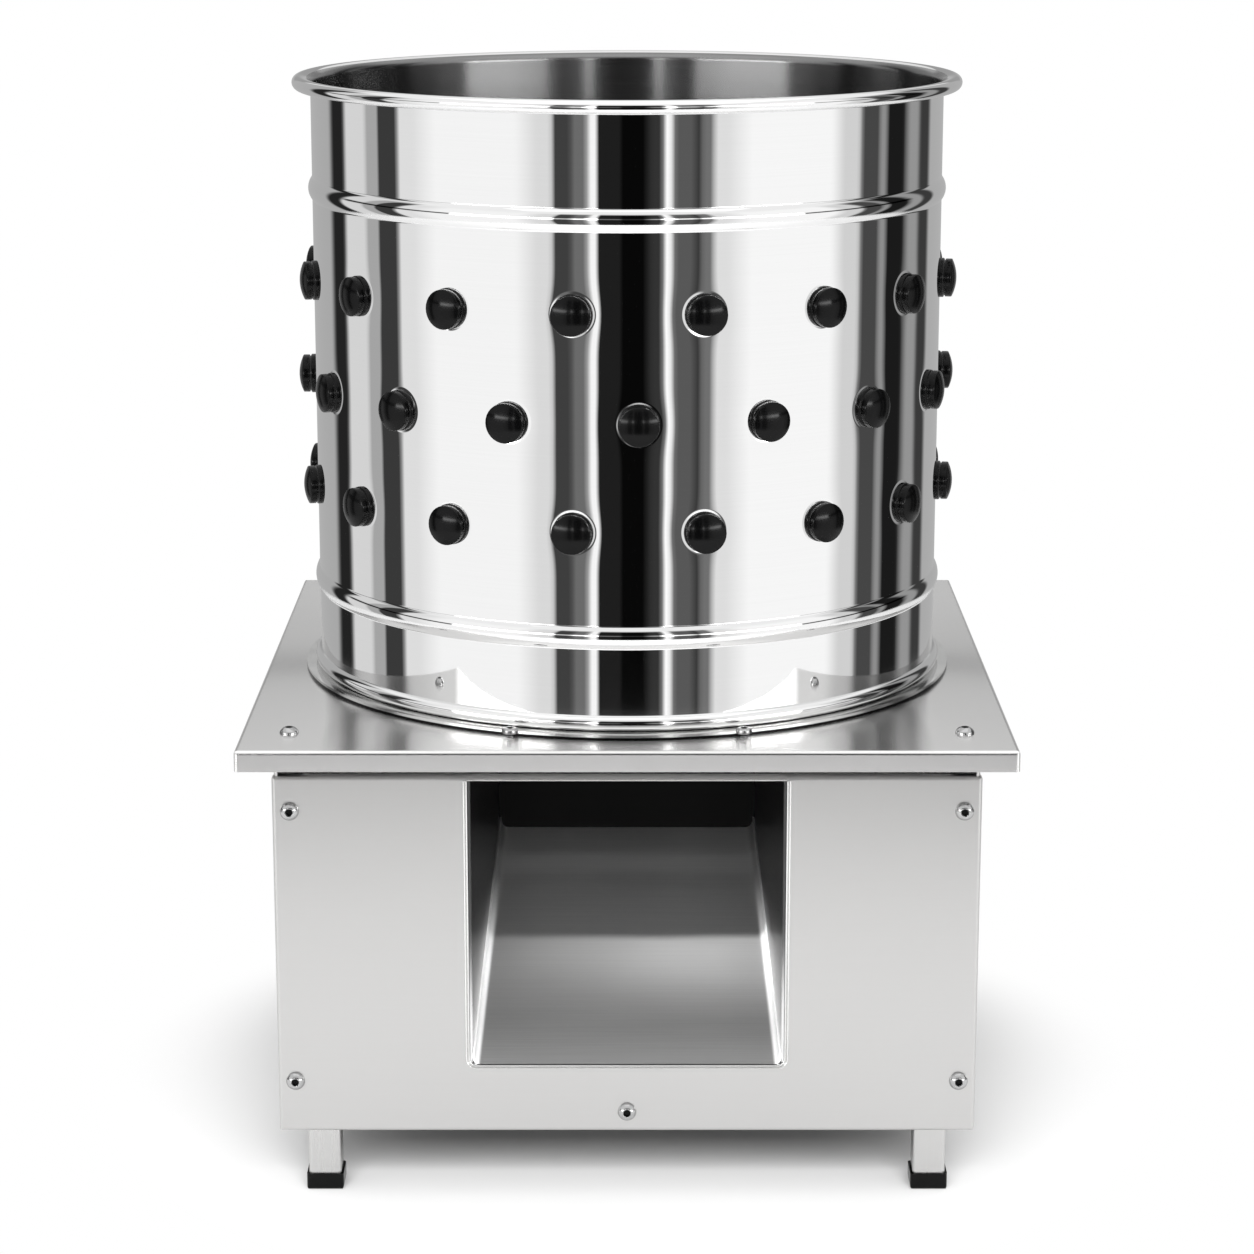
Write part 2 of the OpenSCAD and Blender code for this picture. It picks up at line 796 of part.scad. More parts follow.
module leg_caps() {
    color(black_rubber) four(tube_mid, tube_mid) difference() {
        translate([0, 0, boot_h]) mirror([0, 0, 1])
            soft_block(tube_w + 2 * boot_t, tube_w + 2 * boot_t, boot_h, bend_r);
        translate([0, 0, boot_sole]) linear_extrude(boot_h) round_rect(tube_w, tube_w, bend_r);
    }
}

// Tube along X or Y between two legs, centred on the origin
module cross_tube(turn) {
    rotate([0, 0, turn]) rotate([90, 0, 90]) linear_extrude(2 * frame_in, center = true) tube_section();
}

module top_rails() {
    color(satin) for (s = [-1, 1]) {
        translate([0, s * tube_mid, rail_top - tube_w / 2]) cross_tube(0);
        translate([s * tube_mid, 0, side_rail_top - tube_w / 2]) cross_tube(90);
    }
}

// Places children at the bolts that hold the drive plate on the base rails
module at_plate_bolts() {
    for (x = [-1, 1], y = [plate_bolt_in - drive_front, frame_in - plate_bolt_in])
        translate([x * tube_mid, y, drive_top]) children();
}

module base_rails() {
    color(satin) difference() {
        for (s = [-1, 1]) {
            translate([0, s * tube_mid, base_rail_z + tube_w / 2]) cross_tube(0);
            translate([s * tube_mid, 0, base_rail_z + tube_w / 2]) cross_tube(90);
        }
        at_plate_bolts() translate([0, 0, -drive_plate_t - 2 * tube_t])
            cylinder(r = hex_r, h = 3 * tube_t);
    }
}

// Places children at the four bolts of a bearing
module at_bearing_bolts() { four(bearing_pitch / 2, bearing_pitch / 2) children(); }

module bearing_plate() {
    color(machined) translate([0, 0, bearing_plate_z]) difference() {
        translate([-frame_in, -drive_front, 0]) cube([2 * frame_in, 2 * drive_front, drive_plate_t]);
        translate([0, 0, -cut]) cylinder(r = plate_hole_r, h = drive_plate_t + 2 * cut);
        at_bearing_bolts() translate([0, 0, -cut]) cylinder(r = hex_r, h = bearing_bolt_reach + cut);
    }
}

// Places children at the motor's four bolts
module at_motor_bolts() {
    translate([0, motor_y, 0]) for (a = [45 : 90 : 315])
        rotate([0, 0, a]) translate([motor_bolt_pcd / 2, 0, 0]) rotate([0, 0, -a]) children();
}

// Slot along Y with round ends, of radius r and travel s each way
module slot(r, s, h) {
    for (y = [-s, s]) translate([0, y, 0]) cylinder(r = r, h = h);
    translate([-r, -s, 0]) cube([2 * r, 2 * s, h]);
}

// Plate on the base rails for the lower bearing and the motor, slotted to stretch the belt
module drive_plate() {
    side = frame_half - bend_r;
    color(machined) translate([0, 0, drive_z]) difference() {
        union() {
            translate([-side, -drive_front, 0])
                cube([2 * side, frame_in - fit_gap + drive_front, drive_plate_t]);
            translate([-frame_in + fit_gap, 0, 0])
                cube([2 * (frame_in - fit_gap), frame_half - fit_gap, drive_plate_t]);
        }
        translate([0, 0, -cut]) {
            cylinder(r = plate_hole_r, h = drive_plate_t + 2 * cut);
            translate([0, motor_y, 0]) slot(spigot_r + fit_gap, motor_slot, drive_plate_t + 2 * cut);
            at_motor_bolts() slot(motor_bolt_r + hole_gap, motor_slot, drive_plate_t + 2 * cut);
        }
        at_bearing_bolts() translate([0, 0, drive_plate_t - bearing_bolt_reach])
            cylinder(r = hex_r, h = bearing_bolt_reach + cut);
        at_plate_bolts() translate([0, 0, -drive_top - cut])
            cylinder(r = hex_r + hole_gap, h = drive_plate_t + 2 * cut);
    }
}

// Bearings

// Cast housing with a square flange on z = 0 and its boss upward
module bearing_housing() {
    difference() {
        union() {
            linear_extrude(bearing_flange_t) round_rect(bearing_w, bearing_w, bearing_corner_r);
            cylinder(r = bearing_boss_r, h = bearing_h);
        }
        translate([0, 0, bearing_lip]) cylinder(r = bearing_r, h = bearing_h);
        translate([0, 0, -cut]) cylinder(r = lip_hole_r, h = bearing_h);
        at_bearing_bolts() translate([0, 0, -cut]) cylinder(r = hex_r + hole_gap, h = bearing_h);
    }
}

// Turns a bearing so that it hangs under the bearing plate, or stands on the drive plate
module upper_bearing() { translate([0, 0, bearing_plate_z]) mirror([0, 0, 1]) children(); }
module lower_bearing() { translate([0, 0, drive_top]) children(); }

module upper_bearing_housing() { color(cast_grey) upper_bearing() bearing_housing(); }
module lower_bearing_housing() { color(cast_grey) lower_bearing() bearing_housing(); }

// Outer ring of a sealed bearing with its two seals, seated on the housing's lip
module bearing_outer_ring() {
    seal_t = 2;
    translate([0, 0, bearing_lip]) {
        ring(bearing_r, bearing_r - bearing_ring_t, bearing_ring_w);
        for (z = [0, bearing_ring_w - seal_t])
            translate([0, 0, z]) ring(bearing_r - bearing_ring_t + join, insert_r + run_gap, seal_t);
    }
}

module bearing_outer_rings() {
    color(machined) {
        upper_bearing() bearing_outer_ring();
        lower_bearing() bearing_outer_ring();
    }
}

module bearing_inner_rings() {
    color(machined) {
        upper_bearing() translate([0, 0, bearing_lip - ring_reach])
            ring(insert_r, shaft_r, bearing_ring_w + 2 * ring_reach);
        lower_bearing() translate([0, 0, bearing_lip - ring_reach])
            ring(insert_r, shaft_r, bearing_ring_w + 2 * ring_reach);
    }
}

// Hexagon bolt: its head stands on z = 0 and its shank hangs below
module hex_bolt(len) {
    cylinder(r = hex_head_r, h = hex_head_h, $fn = 6);
    translate([0, 0, -len]) cylinder(r = hex_r - thread_gap, h = len + join);
}

module hex_bolts() {
    len = bearing_flange_t + bearing_bolt_reach - join;
    color(machined) {
        upper_bearing() at_bearing_bolts() translate([0, 0, bearing_flange_t]) hex_bolt(len);
        lower_bearing() at_bearing_bolts() translate([0, 0, bearing_flange_t]) hex_bolt(len);
        at_plate_bolts() hex_bolt(drive_plate_t + 2 * tube_t);
    }
}

// Motor

module at_motor(z) { translate([0, motor_y, z]) children(); }

module motor_housing() {
    bore = shield_r - motor_wall;
    color(motor_paint) at_motor(stator_z) difference() {
        union() {
            cylinder(r = shield_r, h = motor_h);
            for (i = [0 : fin_count - 1]) rotate([0, 0, (i + 0.5) * 360 / fin_count])
                translate([shield_r - motor_wall / 2, -fin_t / 2, fin_end])
                    cube([motor_r - shield_r + motor_wall / 2, fin_t, motor_h - 2 * fin_end]);
        }
        translate([0, 0, -cut]) cylinder(r = bore, h = motor_h + 2 * cut);
    }
}

// End shield on z = 0 with its bearing seat open towards the motor's inside, which lies above it
module end_shield() {
    seat_z = shield_h - motor_bearing_w;
    difference() {
        cylinder(r = shield_r, h = shield_h);
        translate([0, 0, seat_z]) cylinder(r = motor_bearing_r, h = shield_h);
        translate([0, 0, -cut]) cylinder(r = motor_shaft_hole_r, h = shield_h);
    }
}

module motor_lower_shield() {
    spigot_h = drive_plate_t - 1;
    color(motor_paint) at_motor(drive_top) difference() {
        union() {
            end_shield();
            translate([0, 0, -spigot_h]) ring(spigot_r, motor_shaft_hole_r, spigot_h + join);
        }
        at_motor_bolts_local() translate([0, 0, -cut])
            cylinder(r = motor_bolt_r, h = motor_bolt_depth + 3 * cut);
    }
}

module at_motor_bolts_local() { translate([0, -motor_y, 0]) at_motor_bolts() children(); }

module motor_upper_shield() {
    color(motor_paint) at_motor(motor_top) mirror([0, 0, 1]) end_shield();
}

module motor_fan_cover() {
    slot_count = 12;
    slot_in = 16;
    slot_len = 34;
    slot_w = 6;
    cover_r = shield_r + cover_t;
    color(motor_paint) at_motor(motor_top - cover_lap) difference() {
        cylinder(r = cover_r, h = cover_h);
        translate([0, 0, -cover_t]) cylinder(r = shield_r, h = cover_h);
        for (i = [0 : slot_count - 1]) rotate([0, 0, i * 360 / slot_count])
            translate([slot_in, -slot_w / 2, cover_h - 2 * cover_t]) cube([slot_len, slot_w, 4 * cover_t]);
    }
}

module motor_terminal_box() {
    box_w = 60;
    box_d = 30;
    box_h = 70;
    box_sunk = 4;
    box_up = 30;
    color(motor_paint) difference() {
        translate([motor_r - box_sunk, motor_y - box_w / 2, stator_z + box_up])
            cube([box_d, box_w, box_h]);
        at_motor(0) cylinder(r = motor_r, h = upper_shield_z);
    }
}

module motor_stator() {
    wind_t = 10;
    wind_h = 10;
    wind_r = stator_in + wind_t;
    core_h = motor_h - 2 * core_margin;
    color([0.62, 0.36, 0.18]) at_motor(stator_z + core_margin) difference() {
        union() {
            cylinder(r = shield_r - motor_wall, h = core_h);
            translate([0, 0, -wind_h]) cylinder(r = wind_r, h = core_h + 2 * wind_h);
        }
        translate([0, 0, -wind_h - cut]) cylinder(r = stator_in, h = motor_h);
    }
}

module motor_bearings() {
    color(machined) for (z = [stator_z - motor_bearing_w, upper_shield_z])
        at_motor(z) ring(motor_bearing_r, motor_shaft_r + motor_bearing_run, motor_bearing_w);
}

module motor_bolts() {
    head_r = 5.5;
    head_h = 4;
    color(machined) at_motor_bolts() translate([0, 0, drive_z]) {
        translate([0, 0, -head_h]) cylinder(r = head_r, h = head_h, $fn = 6);
        translate([0, 0, -join])
            cylinder(r = motor_bolt_r - thread_gap, h = drive_plate_t + motor_bolt_depth);
    }
}

module motor_shaft() {
    color(machined) at_motor(shaft_bottom)
        cylinder(r = motor_shaft_r, h = fan_z + fan_h - shaft_bottom);
}

module motor_rotor() {
    color(machined) at_motor(stator_z + core_margin)
        ring(rotor_r, motor_shaft_r, motor_h - 2 * core_margin);
}

module motor_fan() {
    blade_t = 2;
    blades = 8;
    hub_w = 6;
    tip_gap = 2;
    hub = motor_shaft_r + hub_w;
    color(black_rubber) at_motor(fan_z) {
        ring(hub, motor_shaft_r, fan_h);
        ring(fan_r, hub - join, blade_t);
        for (i = [0 : blades - 1]) rotate([0, 0, i * 360 / blades])
            translate([hub - join, -blade_t / 2, 0]) cube([fan_r - hub - tip_gap, blade_t, fan_h]);
    }
}

// Belt drive

// V section of the belt about its pitch point, grown by g on the flanks
module belt_section(g) {
    polygon([[belt_out, belt_half_w + g], [-belt_in, belt_half_w - belt_flank + g],
        [-belt_in, -belt_half_w + belt_flank - g], [belt_out, -belt_half_w - g]]);
}

module v_belt() {
    color(black_rubber) translate([0, 0, belt_z]) {
        rotate([0, 0, 180 - belt_angle]) rotate_extrude(angle = 180 + 2 * belt_angle)
            translate([large_pitch_r, 0]) belt_section(0);
        translate([0, motor_y, 0]) rotate([0, 0, belt_angle])
            rotate_extrude(angle = 180 - 2 * belt_angle) translate([small_pitch_r, 0]) belt_section(0);
        for (m = [0, 1]) mirror([m, 0, 0]) rotate([0, 0, belt_angle])
            translate([0, belt_run, 0]) rotate([90, 0, 0]) linear_extrude(belt_run)
                translate([large_pitch_r, 0]) belt_section(0);
    }
}

// Pulley profile: rim of outer radius r with a V groove, open from the bore out to inner
module groove(pitch) {
    slope = belt_flank / (belt_out + belt_in);
    top = belt_half_w + belt_gap + slope * (rim_over_pitch + cut - belt_out);
    low = belt_half_w + belt_gap - slope * (groove_floor + belt_out);
    polygon([[pitch + rim_over_pitch + cut, top], [pitch - groove_floor, low],
        [pitch - groove_floor, -low], [pitch + rim_over_pitch + cut, -top]]);
}

module large_pulley() {
    hub_w = 14;
    rim_w = 24;
    web_t = 7;
    spoke_w = 10;
    hub_r = shaft_r + hub_w;
    rim_in = large_r - rim_w;
    hole_at = (rim_in + hub_r) / 2;
    hole_r = hole_at * sin(30) - spoke_w / 2;
    color(cast_grey) translate([0, 0, belt_z]) difference() {
        rotate_extrude() difference() {
            union() {
                translate([shaft_r, -pulley_w / 2]) square([hub_r - shaft_r, pulley_w]);
                translate([hub_r - join, -web_t / 2]) square([rim_in - hub_r + 2 * join, web_t]);
                translate([rim_in, -pulley_w / 2]) square([large_r - rim_in, pulley_w]);
            }
            groove(large_pitch_r);
        }
        for (a = [0 : 60 : 300]) rotate([0, 0, a + 30])
            translate([hole_at, 0, -web_t]) cylinder(r = hole_r, h = 2 * web_t);
        translate([-key_w / 2, 0, -pulley_w]) cube([key_w, shaft_r + key_h - key_sunk, 2 * pulley_w]);
    }
}

module motor_pulley() {
    color(cast_grey) at_motor(belt_z) rotate_extrude() difference() {
        translate([motor_shaft_r, -pulley_w / 2]) square([small_pulley_r - motor_shaft_r, pulley_w]);
        groove(small_pitch_r);
    }
}

// Turning plate and its shaft

// Space of a key in the shaft, from z = 0 up
module key_space(len) {
    translate([-key_w / 2, shaft_r - key_sunk, 0]) cube([key_w, key_h, len]);
}

hub_key_z = plate_z - hub_flange_t - hub_boss_h;
hub_key_len = hub_flange_t + hub_boss_h;
pulley_key_z = pulley_top - pulley_w;

module main_shaft() {
    color(machined) difference() {
        union() {
            translate([0, 0, shaft_bottom]) cylinder(r = shaft_r, h = plate_top - shaft_bottom);
            translate([0, 0, plate_top - join])
                cylinder(r = stud_r, h = plate_washer_t + plate_nut_h + join);
        }
        translate([0, 0, hub_key_z]) key_space(hub_key_len);
        translate([0, 0, pulley_key_z]) key_space(pulley_w);
        translate([0, 0, pulley_key_z - clip_t]) ring(shaft_r + cut, shaft_r - clip_depth, clip_t);
    }
}

module shaft_keys() {
    color(machined) {
        translate([0, 0, hub_key_z]) key_space(hub_key_len);
        translate([0, 0, pulley_key_z]) key_space(pulley_w);
    }
}

module shaft_circlip() {
    color(machined) translate([0, 0, pulley_key_z - clip_t]) difference() {
        ring(shaft_r + clip_w, shaft_r - clip_depth, clip_t);
        translate([-clip_mouth / 2, 0, -cut]) cube([clip_mouth, 2 * shaft_r, clip_t + 2 * cut]);
    }
}

module pulley_spacer() {
    spacer_top = drive_top + bearing_lip - ring_reach;
    color(machined) translate([0, 0, pulley_top]) ring(spacer_r, shaft_r, spacer_top - pulley_top);
}

// Soft ring on the shaft that keeps water off the hole in the table
module shaft_seal() {
    seal_w = 9;
    seal_h = plate_lift - hub_flange_t - hub_boss_h - run_gap;
    color(black_rubber) translate([0, 0, table_z + run_gap]) ring(shaft_r + seal_w, shaft_r, seal_h);
}

// Places children at every finger of the plate, with Z pointing down
module at_plate_fingers() {
    for (i = [0 : len(plate_rings) - 1], k = [0 : plate_counts[i] - 1])
        rotate([0, 0, (k + 0.5) * 360 / plate_counts[i]])
            translate([plate_rings[i], 0, plate_z]) rotate([180, 0, 0]) children();
}

module plate() {
    color(polished) difference() {
        translate([0, 0, plate_z]) ring(plate_r, shaft_r, plate_t);
        at_plate_fingers() translate([0, 0, -plate_t - cut])
            cylinder(r = finger_hole_r, h = plate_t + 2 * cut);
    }
}

module plate_fingers() {
    color(black_rubber) at_plate_fingers() finger(plate_t);
}

module plate_hub() {
    color(machined) difference() {
        union() {
            translate([0, 0, plate_z - hub_flange_t]) ring(hub_flange_r, shaft_r, hub_flange_t);
            translate([0, 0, hub_key_z]) ring(hub_boss_r, shaft_r, hub_key_len);
        }
        translate([0, 0, hub_key_z - cut]) key_space(hub_key_len + 2 * cut);
    }
}

module plate_washer() {
    color(machined) translate([0, 0, plate_top]) ring(plate_washer_r, stud_r, plate_washer_t);
}

// Domed nut: a hexagon with a round cap, blind over the stud
module plate_nut() {
    cap_step = 1;
    flat_r = plate_nut_r * cos(30);
    seat = plate_top + plate_washer_t;
    color(polished) translate([0, 0, seat]) difference() {
        union() {
            cylinder(r = plate_nut_r, h = plate_nut_h, $fn = 6);
            translate([0, 0, plate_nut_h]) rotate_extrude() intersection() {
                circle(flat_r - cap_step);
                square(flat_r);
            }
        }
        translate([0, 0, -cut]) cylinder(r = stud_r, h = plate_nut_h + cut);
    }
}

// Blades under the plate that carry feathers round to the outlet
module sweeps() {
    hub_clear = 3;
    rim_clear = 4;
    inner = hub_flange_r + hub_clear;
    color(polished) for (s = [0, 180]) rotate([0, 0, s])
        translate([inner, -sweep_t / 2, table_z + sweep_gap])
            cube([plate_r - rim_clear - inner, sweep_t, plate_lift - sweep_gap]);
}

// Switch and cable entry on the rear panel

function button_z(s) = switch_mid_z + s * button_pitch / 2;

module switch_plate() {
    color([0.12, 0.12, 0.12]) translate([switch_x, cab_half, switch_mid_z]) difference() {
        face_rear() linear_extrude(switch_t) round_rect(switch_w, switch_h, switch_corner_r);
        for (s = [-1, 1]) translate([0, -cut, s * button_pitch / 2]) rotate([-90, 0, 0])
            cylinder(r = push_r + run_gap, h = switch_t + 2 * cut);
    }
}

module switch_box() {
    wall = switch_wall;
    w = switch_w - 2 * switch_lap;
    h = switch_h - 2 * switch_lap;
    color([0.12, 0.12, 0.12]) translate([switch_x, cab_half, switch_mid_z]) difference() {
        translate([-w / 2, -switch_depth, -h / 2]) cube([w, switch_depth, h]);
        translate([-w / 2 + wall, -switch_depth + wall, -h / 2 + wall])
            cube([w - 2 * wall, switch_depth, h - 2 * wall]);
    }
}

// Push button: a cap in the plate's hole and a stem that stops short of the box's floor
module push_button(s) {
    stem_r = 4;
    stem = switch_depth - switch_wall - button_travel - run_gap;
    translate([switch_x, cab_half, button_z(s)]) rotate([-90, 0, 0]) {
        translate([0, 0, -button_travel]) cylinder(r = push_r, h = switch_t + push_h + button_travel);
        translate([0, 0, -stem]) cylinder(r = stem_r, h = stem);
    }
}

module start_button() { color([0.10, 0.45, 0.18]) push_button(1); }
module stop_button() { color([0.70, 0.08, 0.06]) push_button(-1); }

module cable_gland() {
    hex_h = 6;
    hex_out = 4;
    thread_len = 10;
    nose_len = 9;
    locknut_h = 5;
    bore_r = 5;
    color(black_rubber) translate([switch_x, cab_half, gland_z]) rotate([-90, 0, 0]) difference() {
        union() {
            translate([0, 0, -thread_len]) cylinder(r = gland_r, h = thread_len + join);
            cylinder(r = gland_r + hex_out, h = hex_h, $fn = 6);
            translate([0, 0, hex_h - join]) cylinder(r = gland_r, h = nose_len);
            translate([0, 0, -sheet_t - locknut_h]) cylinder(r = gland_r + hex_out, h = locknut_h, $fn = 6);
        }
        translate([0, 0, -thread_len - cut])
            cylinder(r = bore_r, h = thread_len + hex_h + nose_len + 2 * cut);
    }
}

drum();
drum_flange();
drum_gasket();
finger_row_low();
finger_row_mid();
finger_row_high();
flange_screws();
flange_nuts();
table();
button_screws();
insert_nuts();
front_panel();
opening_hem();
rear_panel();
side_panel_left();
side_panel_right();
chute_floor();
chute_walls();
legs();
leg_caps();
top_rails();
base_rails();
bearing_plate();
drive_plate();
upper_bearing_housing();
lower_bearing_housing();
bearing_outer_rings();
hex_bolts();
motor_housing();
motor_lower_shield();
motor_upper_shield();
motor_fan_cover();
motor_terminal_box();
motor_stator();
motor_bearings();
motor_bolts();
v_belt();
switch_box();
switch_plate();
cable_gland();
main_shaft();
bearing_inner_rings();
plate();
plate_hub();
plate_fingers();
plate_washer();
plate_nut();
sweeps();
shaft_seal();
large_pulley();
pulley_spacer();
shaft_keys();
shaft_circlip();
motor_shaft();
motor_rotor();
motor_pulley();
motor_fan();
start_button();
stop_button();
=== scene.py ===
# %% [markdown]
# # A drum plucker in polished steel
# A poultry plucker is an open steel drum, lined with rubber fingers, over a
# turning plate that carries more fingers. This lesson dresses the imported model.
# The pieces whose shapes are right keep them and get finishes, and the drum, the
# fingers, the screw heads, the chute's floor and the outlet's edge are made again
# with finer forms.

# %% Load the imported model
import json
import math

import bmesh
import bpy
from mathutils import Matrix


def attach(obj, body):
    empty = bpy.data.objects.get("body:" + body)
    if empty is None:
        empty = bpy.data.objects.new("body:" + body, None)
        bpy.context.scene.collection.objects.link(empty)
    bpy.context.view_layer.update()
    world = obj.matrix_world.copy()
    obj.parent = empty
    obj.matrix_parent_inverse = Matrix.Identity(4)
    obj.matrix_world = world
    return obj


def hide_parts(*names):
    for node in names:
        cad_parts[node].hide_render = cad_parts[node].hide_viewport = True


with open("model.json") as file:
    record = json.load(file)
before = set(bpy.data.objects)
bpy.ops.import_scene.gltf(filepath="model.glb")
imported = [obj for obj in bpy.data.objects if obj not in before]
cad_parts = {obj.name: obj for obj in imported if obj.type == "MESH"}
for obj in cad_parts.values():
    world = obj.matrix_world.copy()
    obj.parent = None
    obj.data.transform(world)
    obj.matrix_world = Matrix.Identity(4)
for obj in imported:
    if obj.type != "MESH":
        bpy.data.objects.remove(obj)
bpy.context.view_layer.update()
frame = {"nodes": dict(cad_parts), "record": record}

nodes = frame["nodes"]
scene = bpy.context.scene
MM = 0.001

# %% [markdown]
# ## The camera
# The machine is seen from straight in front and a little above, through a long
# lens, so the upright edges lean together only slightly. A long lens from far
# away keeps the drum's ellipse flat, as a product photograph does. No shift and
# no depth of field are needed.

# %% Camera
CAMERA_AT = (0, -2.759, 1.048)
LOOK_DOWN = 13.4
lens = bpy.data.cameras.new("front_camera")
lens.lens, lens.sensor_width = 99.1, 36
camera = bpy.data.objects.new("front_camera", lens)
camera.location = CAMERA_AT
camera.rotation_euler = (math.radians(90 - LOOK_DOWN), 0, 0)
scene.collection.objects.link(camera)
scene.camera = camera
print("camera", CAMERA_AT, "looking down", LOOK_DOWN, "degrees")

# %% [markdown]
# ## Writing nodes as sums
# Every finish and every repeated piece below is a node tree. Placing nodes one by
# one hides the idea behind them, so one small class wraps a socket: arithmetic on
# it adds Math nodes, and one method adds any other node. The same class serves
# shaders, the world and geometry.

# %% The wire class
class Wire:
    """An output socket of a node tree that can be calculated with."""

    def __init__(self, tree, socket=None):
        self.tree, self.socket = tree, socket

    def node(self, kind, settings=None, inputs=None, out=0):
        """Adds a node: its settings first, then the values or links of its sockets."""
        made = self.tree.nodes.new(kind)
        for name, value in (settings or {}).items():
            if name == "stops":
                fill_ramp(made.color_ramp, value)
            elif name == "group":
                made.node_tree = value
            else:
                setattr(made, name, value)
        for key, value in (inputs or {}).items():
            if isinstance(value, Wire):
                self.tree.links.new(value.socket, made.inputs[key])
            else:
                made.inputs[key].default_value = value
        return Wire(self.tree, made.outputs[out] if len(made.outputs) else None)

    def maths(self, operation, *values):
        """Adds a Math node for one operation on wires or numbers."""
        return self.node("ShaderNodeMath", {"operation": operation}, dict(enumerate(values)))

    def __add__(self, other):
        return self.maths("ADD", self, other)

    def __sub__(self, other):
        return self.maths("SUBTRACT", self, other)

    def __rsub__(self, other):
        return self.maths("SUBTRACT", other, self)

    def __mul__(self, other):
        return self.maths("MULTIPLY", self, other)

    def __truediv__(self, other):
        return self.maths("DIVIDE", self, other)

    def __rtruediv__(self, other):
        return self.maths("DIVIDE", other, self)

    def __pow__(self, other):
        return self.maths("POWER", self, other)

    def __lt__(self, other):
        return self.maths("LESS_THAN", self, other)

    def __gt__(self, other):
        return self.maths("GREATER_THAN", self, other)

    __radd__, __rmul__ = __add__, __mul__

    def part(self, axis):
        """One of a vector's three numbers."""
        return self.node("ShaderNodeSeparateXYZ", {}, {0: self}, out="XYZ".index(axis))

    def smooth(self, low, high):
        """0 below low and 1 above high, with a soft step between."""
        return self.node("ShaderNodeMapRange", {"interpolation_type": "SMOOTHSTEP"},
                         {"Value": self, "From Min": low, "From Max": high})

    def colours(self, low, high):
        """A colour between two; a Mix node's colours are its inputs 6 and 7 and its output 2."""
        return self.node("ShaderNodeMix", {"data_type": "RGBA"}, {0: self, 6: low, 7: high}, out=2)


def fill_ramp(ramp, stops):
    """Sets a colour ramp's stops, given as (place, grey level) pairs."""
    while len(ramp.elements) > 1:
        ramp.elements.remove(ramp.elements[-1])
    for count, (place, level) in enumerate(stops):
        stop = ramp.elements[0] if count == 0 else ramp.elements.new(place)
        stop.position, stop.color = place, (level, level, level, 1)


print("the wire class is ready")

# %% [markdown]
# ## The studio around the drum
# A mirror shows the room and little of itself, so most of the drum's look is the
# room. A polished drum is shot between upright white boards with black ones in
# the gaps. They could be planes, but the world can carry them as bands of
# azimuth, which keeps every view's floor clear. Azimuth 0 is in front, and plus
# is towards +X. Just above eye level the boards ahead are brighter and those at the
# flanks are dimmer, which brings out the inside of the drum, and the board behind
# grows brighter upwards, which the table shows. Overhead is one broad white light.

# %% Boards left and right of the drum
LEFT_BOARDS = [  # from and to in degrees, level
    (-180, -137, 0.47), (-133, -124, 0.02), (-121, -109, 0.8), (-107, -101, 0.46),
    (-100, -90.5, 0.05), (-89, -82, 0.9), (-72, -40, 1.12), (-32, -27, 0.86),
    (-25.5, -20, 0.06), (-19, -14.5, 0.18), (-12.6, -11, 1.15), (-10.4, -2.5, 0.016),
    (-2, 0, 0.003),
]
RIGHT_BOARDS = [
    (0, 6, 0.003), (9, 12.5, 0.04), (13.6, 15, 1.25), (17, 23.5, 0.12), (24.3, 26, 0.05),
    (27, 30.5, 0.2), (31.3, 36, 0.9), (45, 78, 1.15), (84, 91, 0.78), (93.3, 101.5, 0.075),
    (103.5, 106.3, 0.33), (107.5, 118, 0.013), (123, 129, 0.36), (132.5, 140, 0.05),
    (143, 180, 0.47),
]
OVERHEAD, WHITE = (1.05, 1.05, 1.05, 1), (1, 1, 1, 1)
# Heights are the upward part of a direction, 0 at eye level, and angles are from the front
BOARD_TOP, BOARD_FOOT = (0.5, 0.66), (-0.58, -0.45)
EYE_LEVEL, LOW_TOP = (0.03, 0.1), (0.13, 0.19)
AHEAD_END, FLANK_END, BEHIND_START = (62, 66), (118, 125), (160, 165)
AHEAD_GAIN, FLANK_LOSS = 12.0, 0.98
BEHIND_RISE, BEHIND_GAIN, BEHIND_LOSS = (0.24, 0.275), 1.1, 0.25

scene.view_settings.view_transform = "Standard"
world = bpy.data.worlds.new("studio")
scene.world = world
world.use_nodes = True
world.node_tree.nodes.clear()
toward = Wire(world.node_tree).node("ShaderNodeTexCoord", out="Generated")
turn = toward.maths("ARCTAN2", toward.part("X"), toward.part("Y") * -1)
around = turn / (2 * math.pi) + 0.5


def boards(spans):
    """A ramp round the room that is level across each board and blends between them."""
    stops = [(edge / 360 + 0.5, level) for low, high, level in spans for edge in (low, high)]
    return around.node("ShaderNodeValToRGB", {"stops": stops}, {"Fac": around})


side = (around > 0.5).colours(boards(LEFT_BOARDS), boards(RIGHT_BOARDS))
print("boards:", len(LEFT_BOARDS), "to the left and", len(RIGHT_BOARDS), "to the right")

# %% Brighter and dimmer boards, and the light overhead
sideways = turn.maths("ABSOLUTE", turn) * (180 / math.pi)
ahead = 1 - sideways.smooth(*AHEAD_END)
flank = sideways.smooth(*AHEAD_END) * (1 - sideways.smooth(*FLANK_END))
behind = sideways.smooth(*BEHIND_START)
height = toward.part("Z")
upper = height.smooth(*EYE_LEVEL)
low_band = upper * (1 - height.smooth(*LOW_TOP))
rising = height.smooth(*BEHIND_RISE) * BEHIND_GAIN - BEHIND_LOSS
gain = 1 + low_band * (ahead * AHEAD_GAIN - flank * FLANK_LOSS) + upper * behind * rising
walls = side.node("ShaderNodeVectorMath", {"operation": "SCALE"}, {0: side, "Scale": gain}, out="Vector")
steep = height.smooth(*BOARD_TOP) + 1 - height.smooth(*BOARD_FOOT)
room = steep.colours(walls, OVERHEAD)
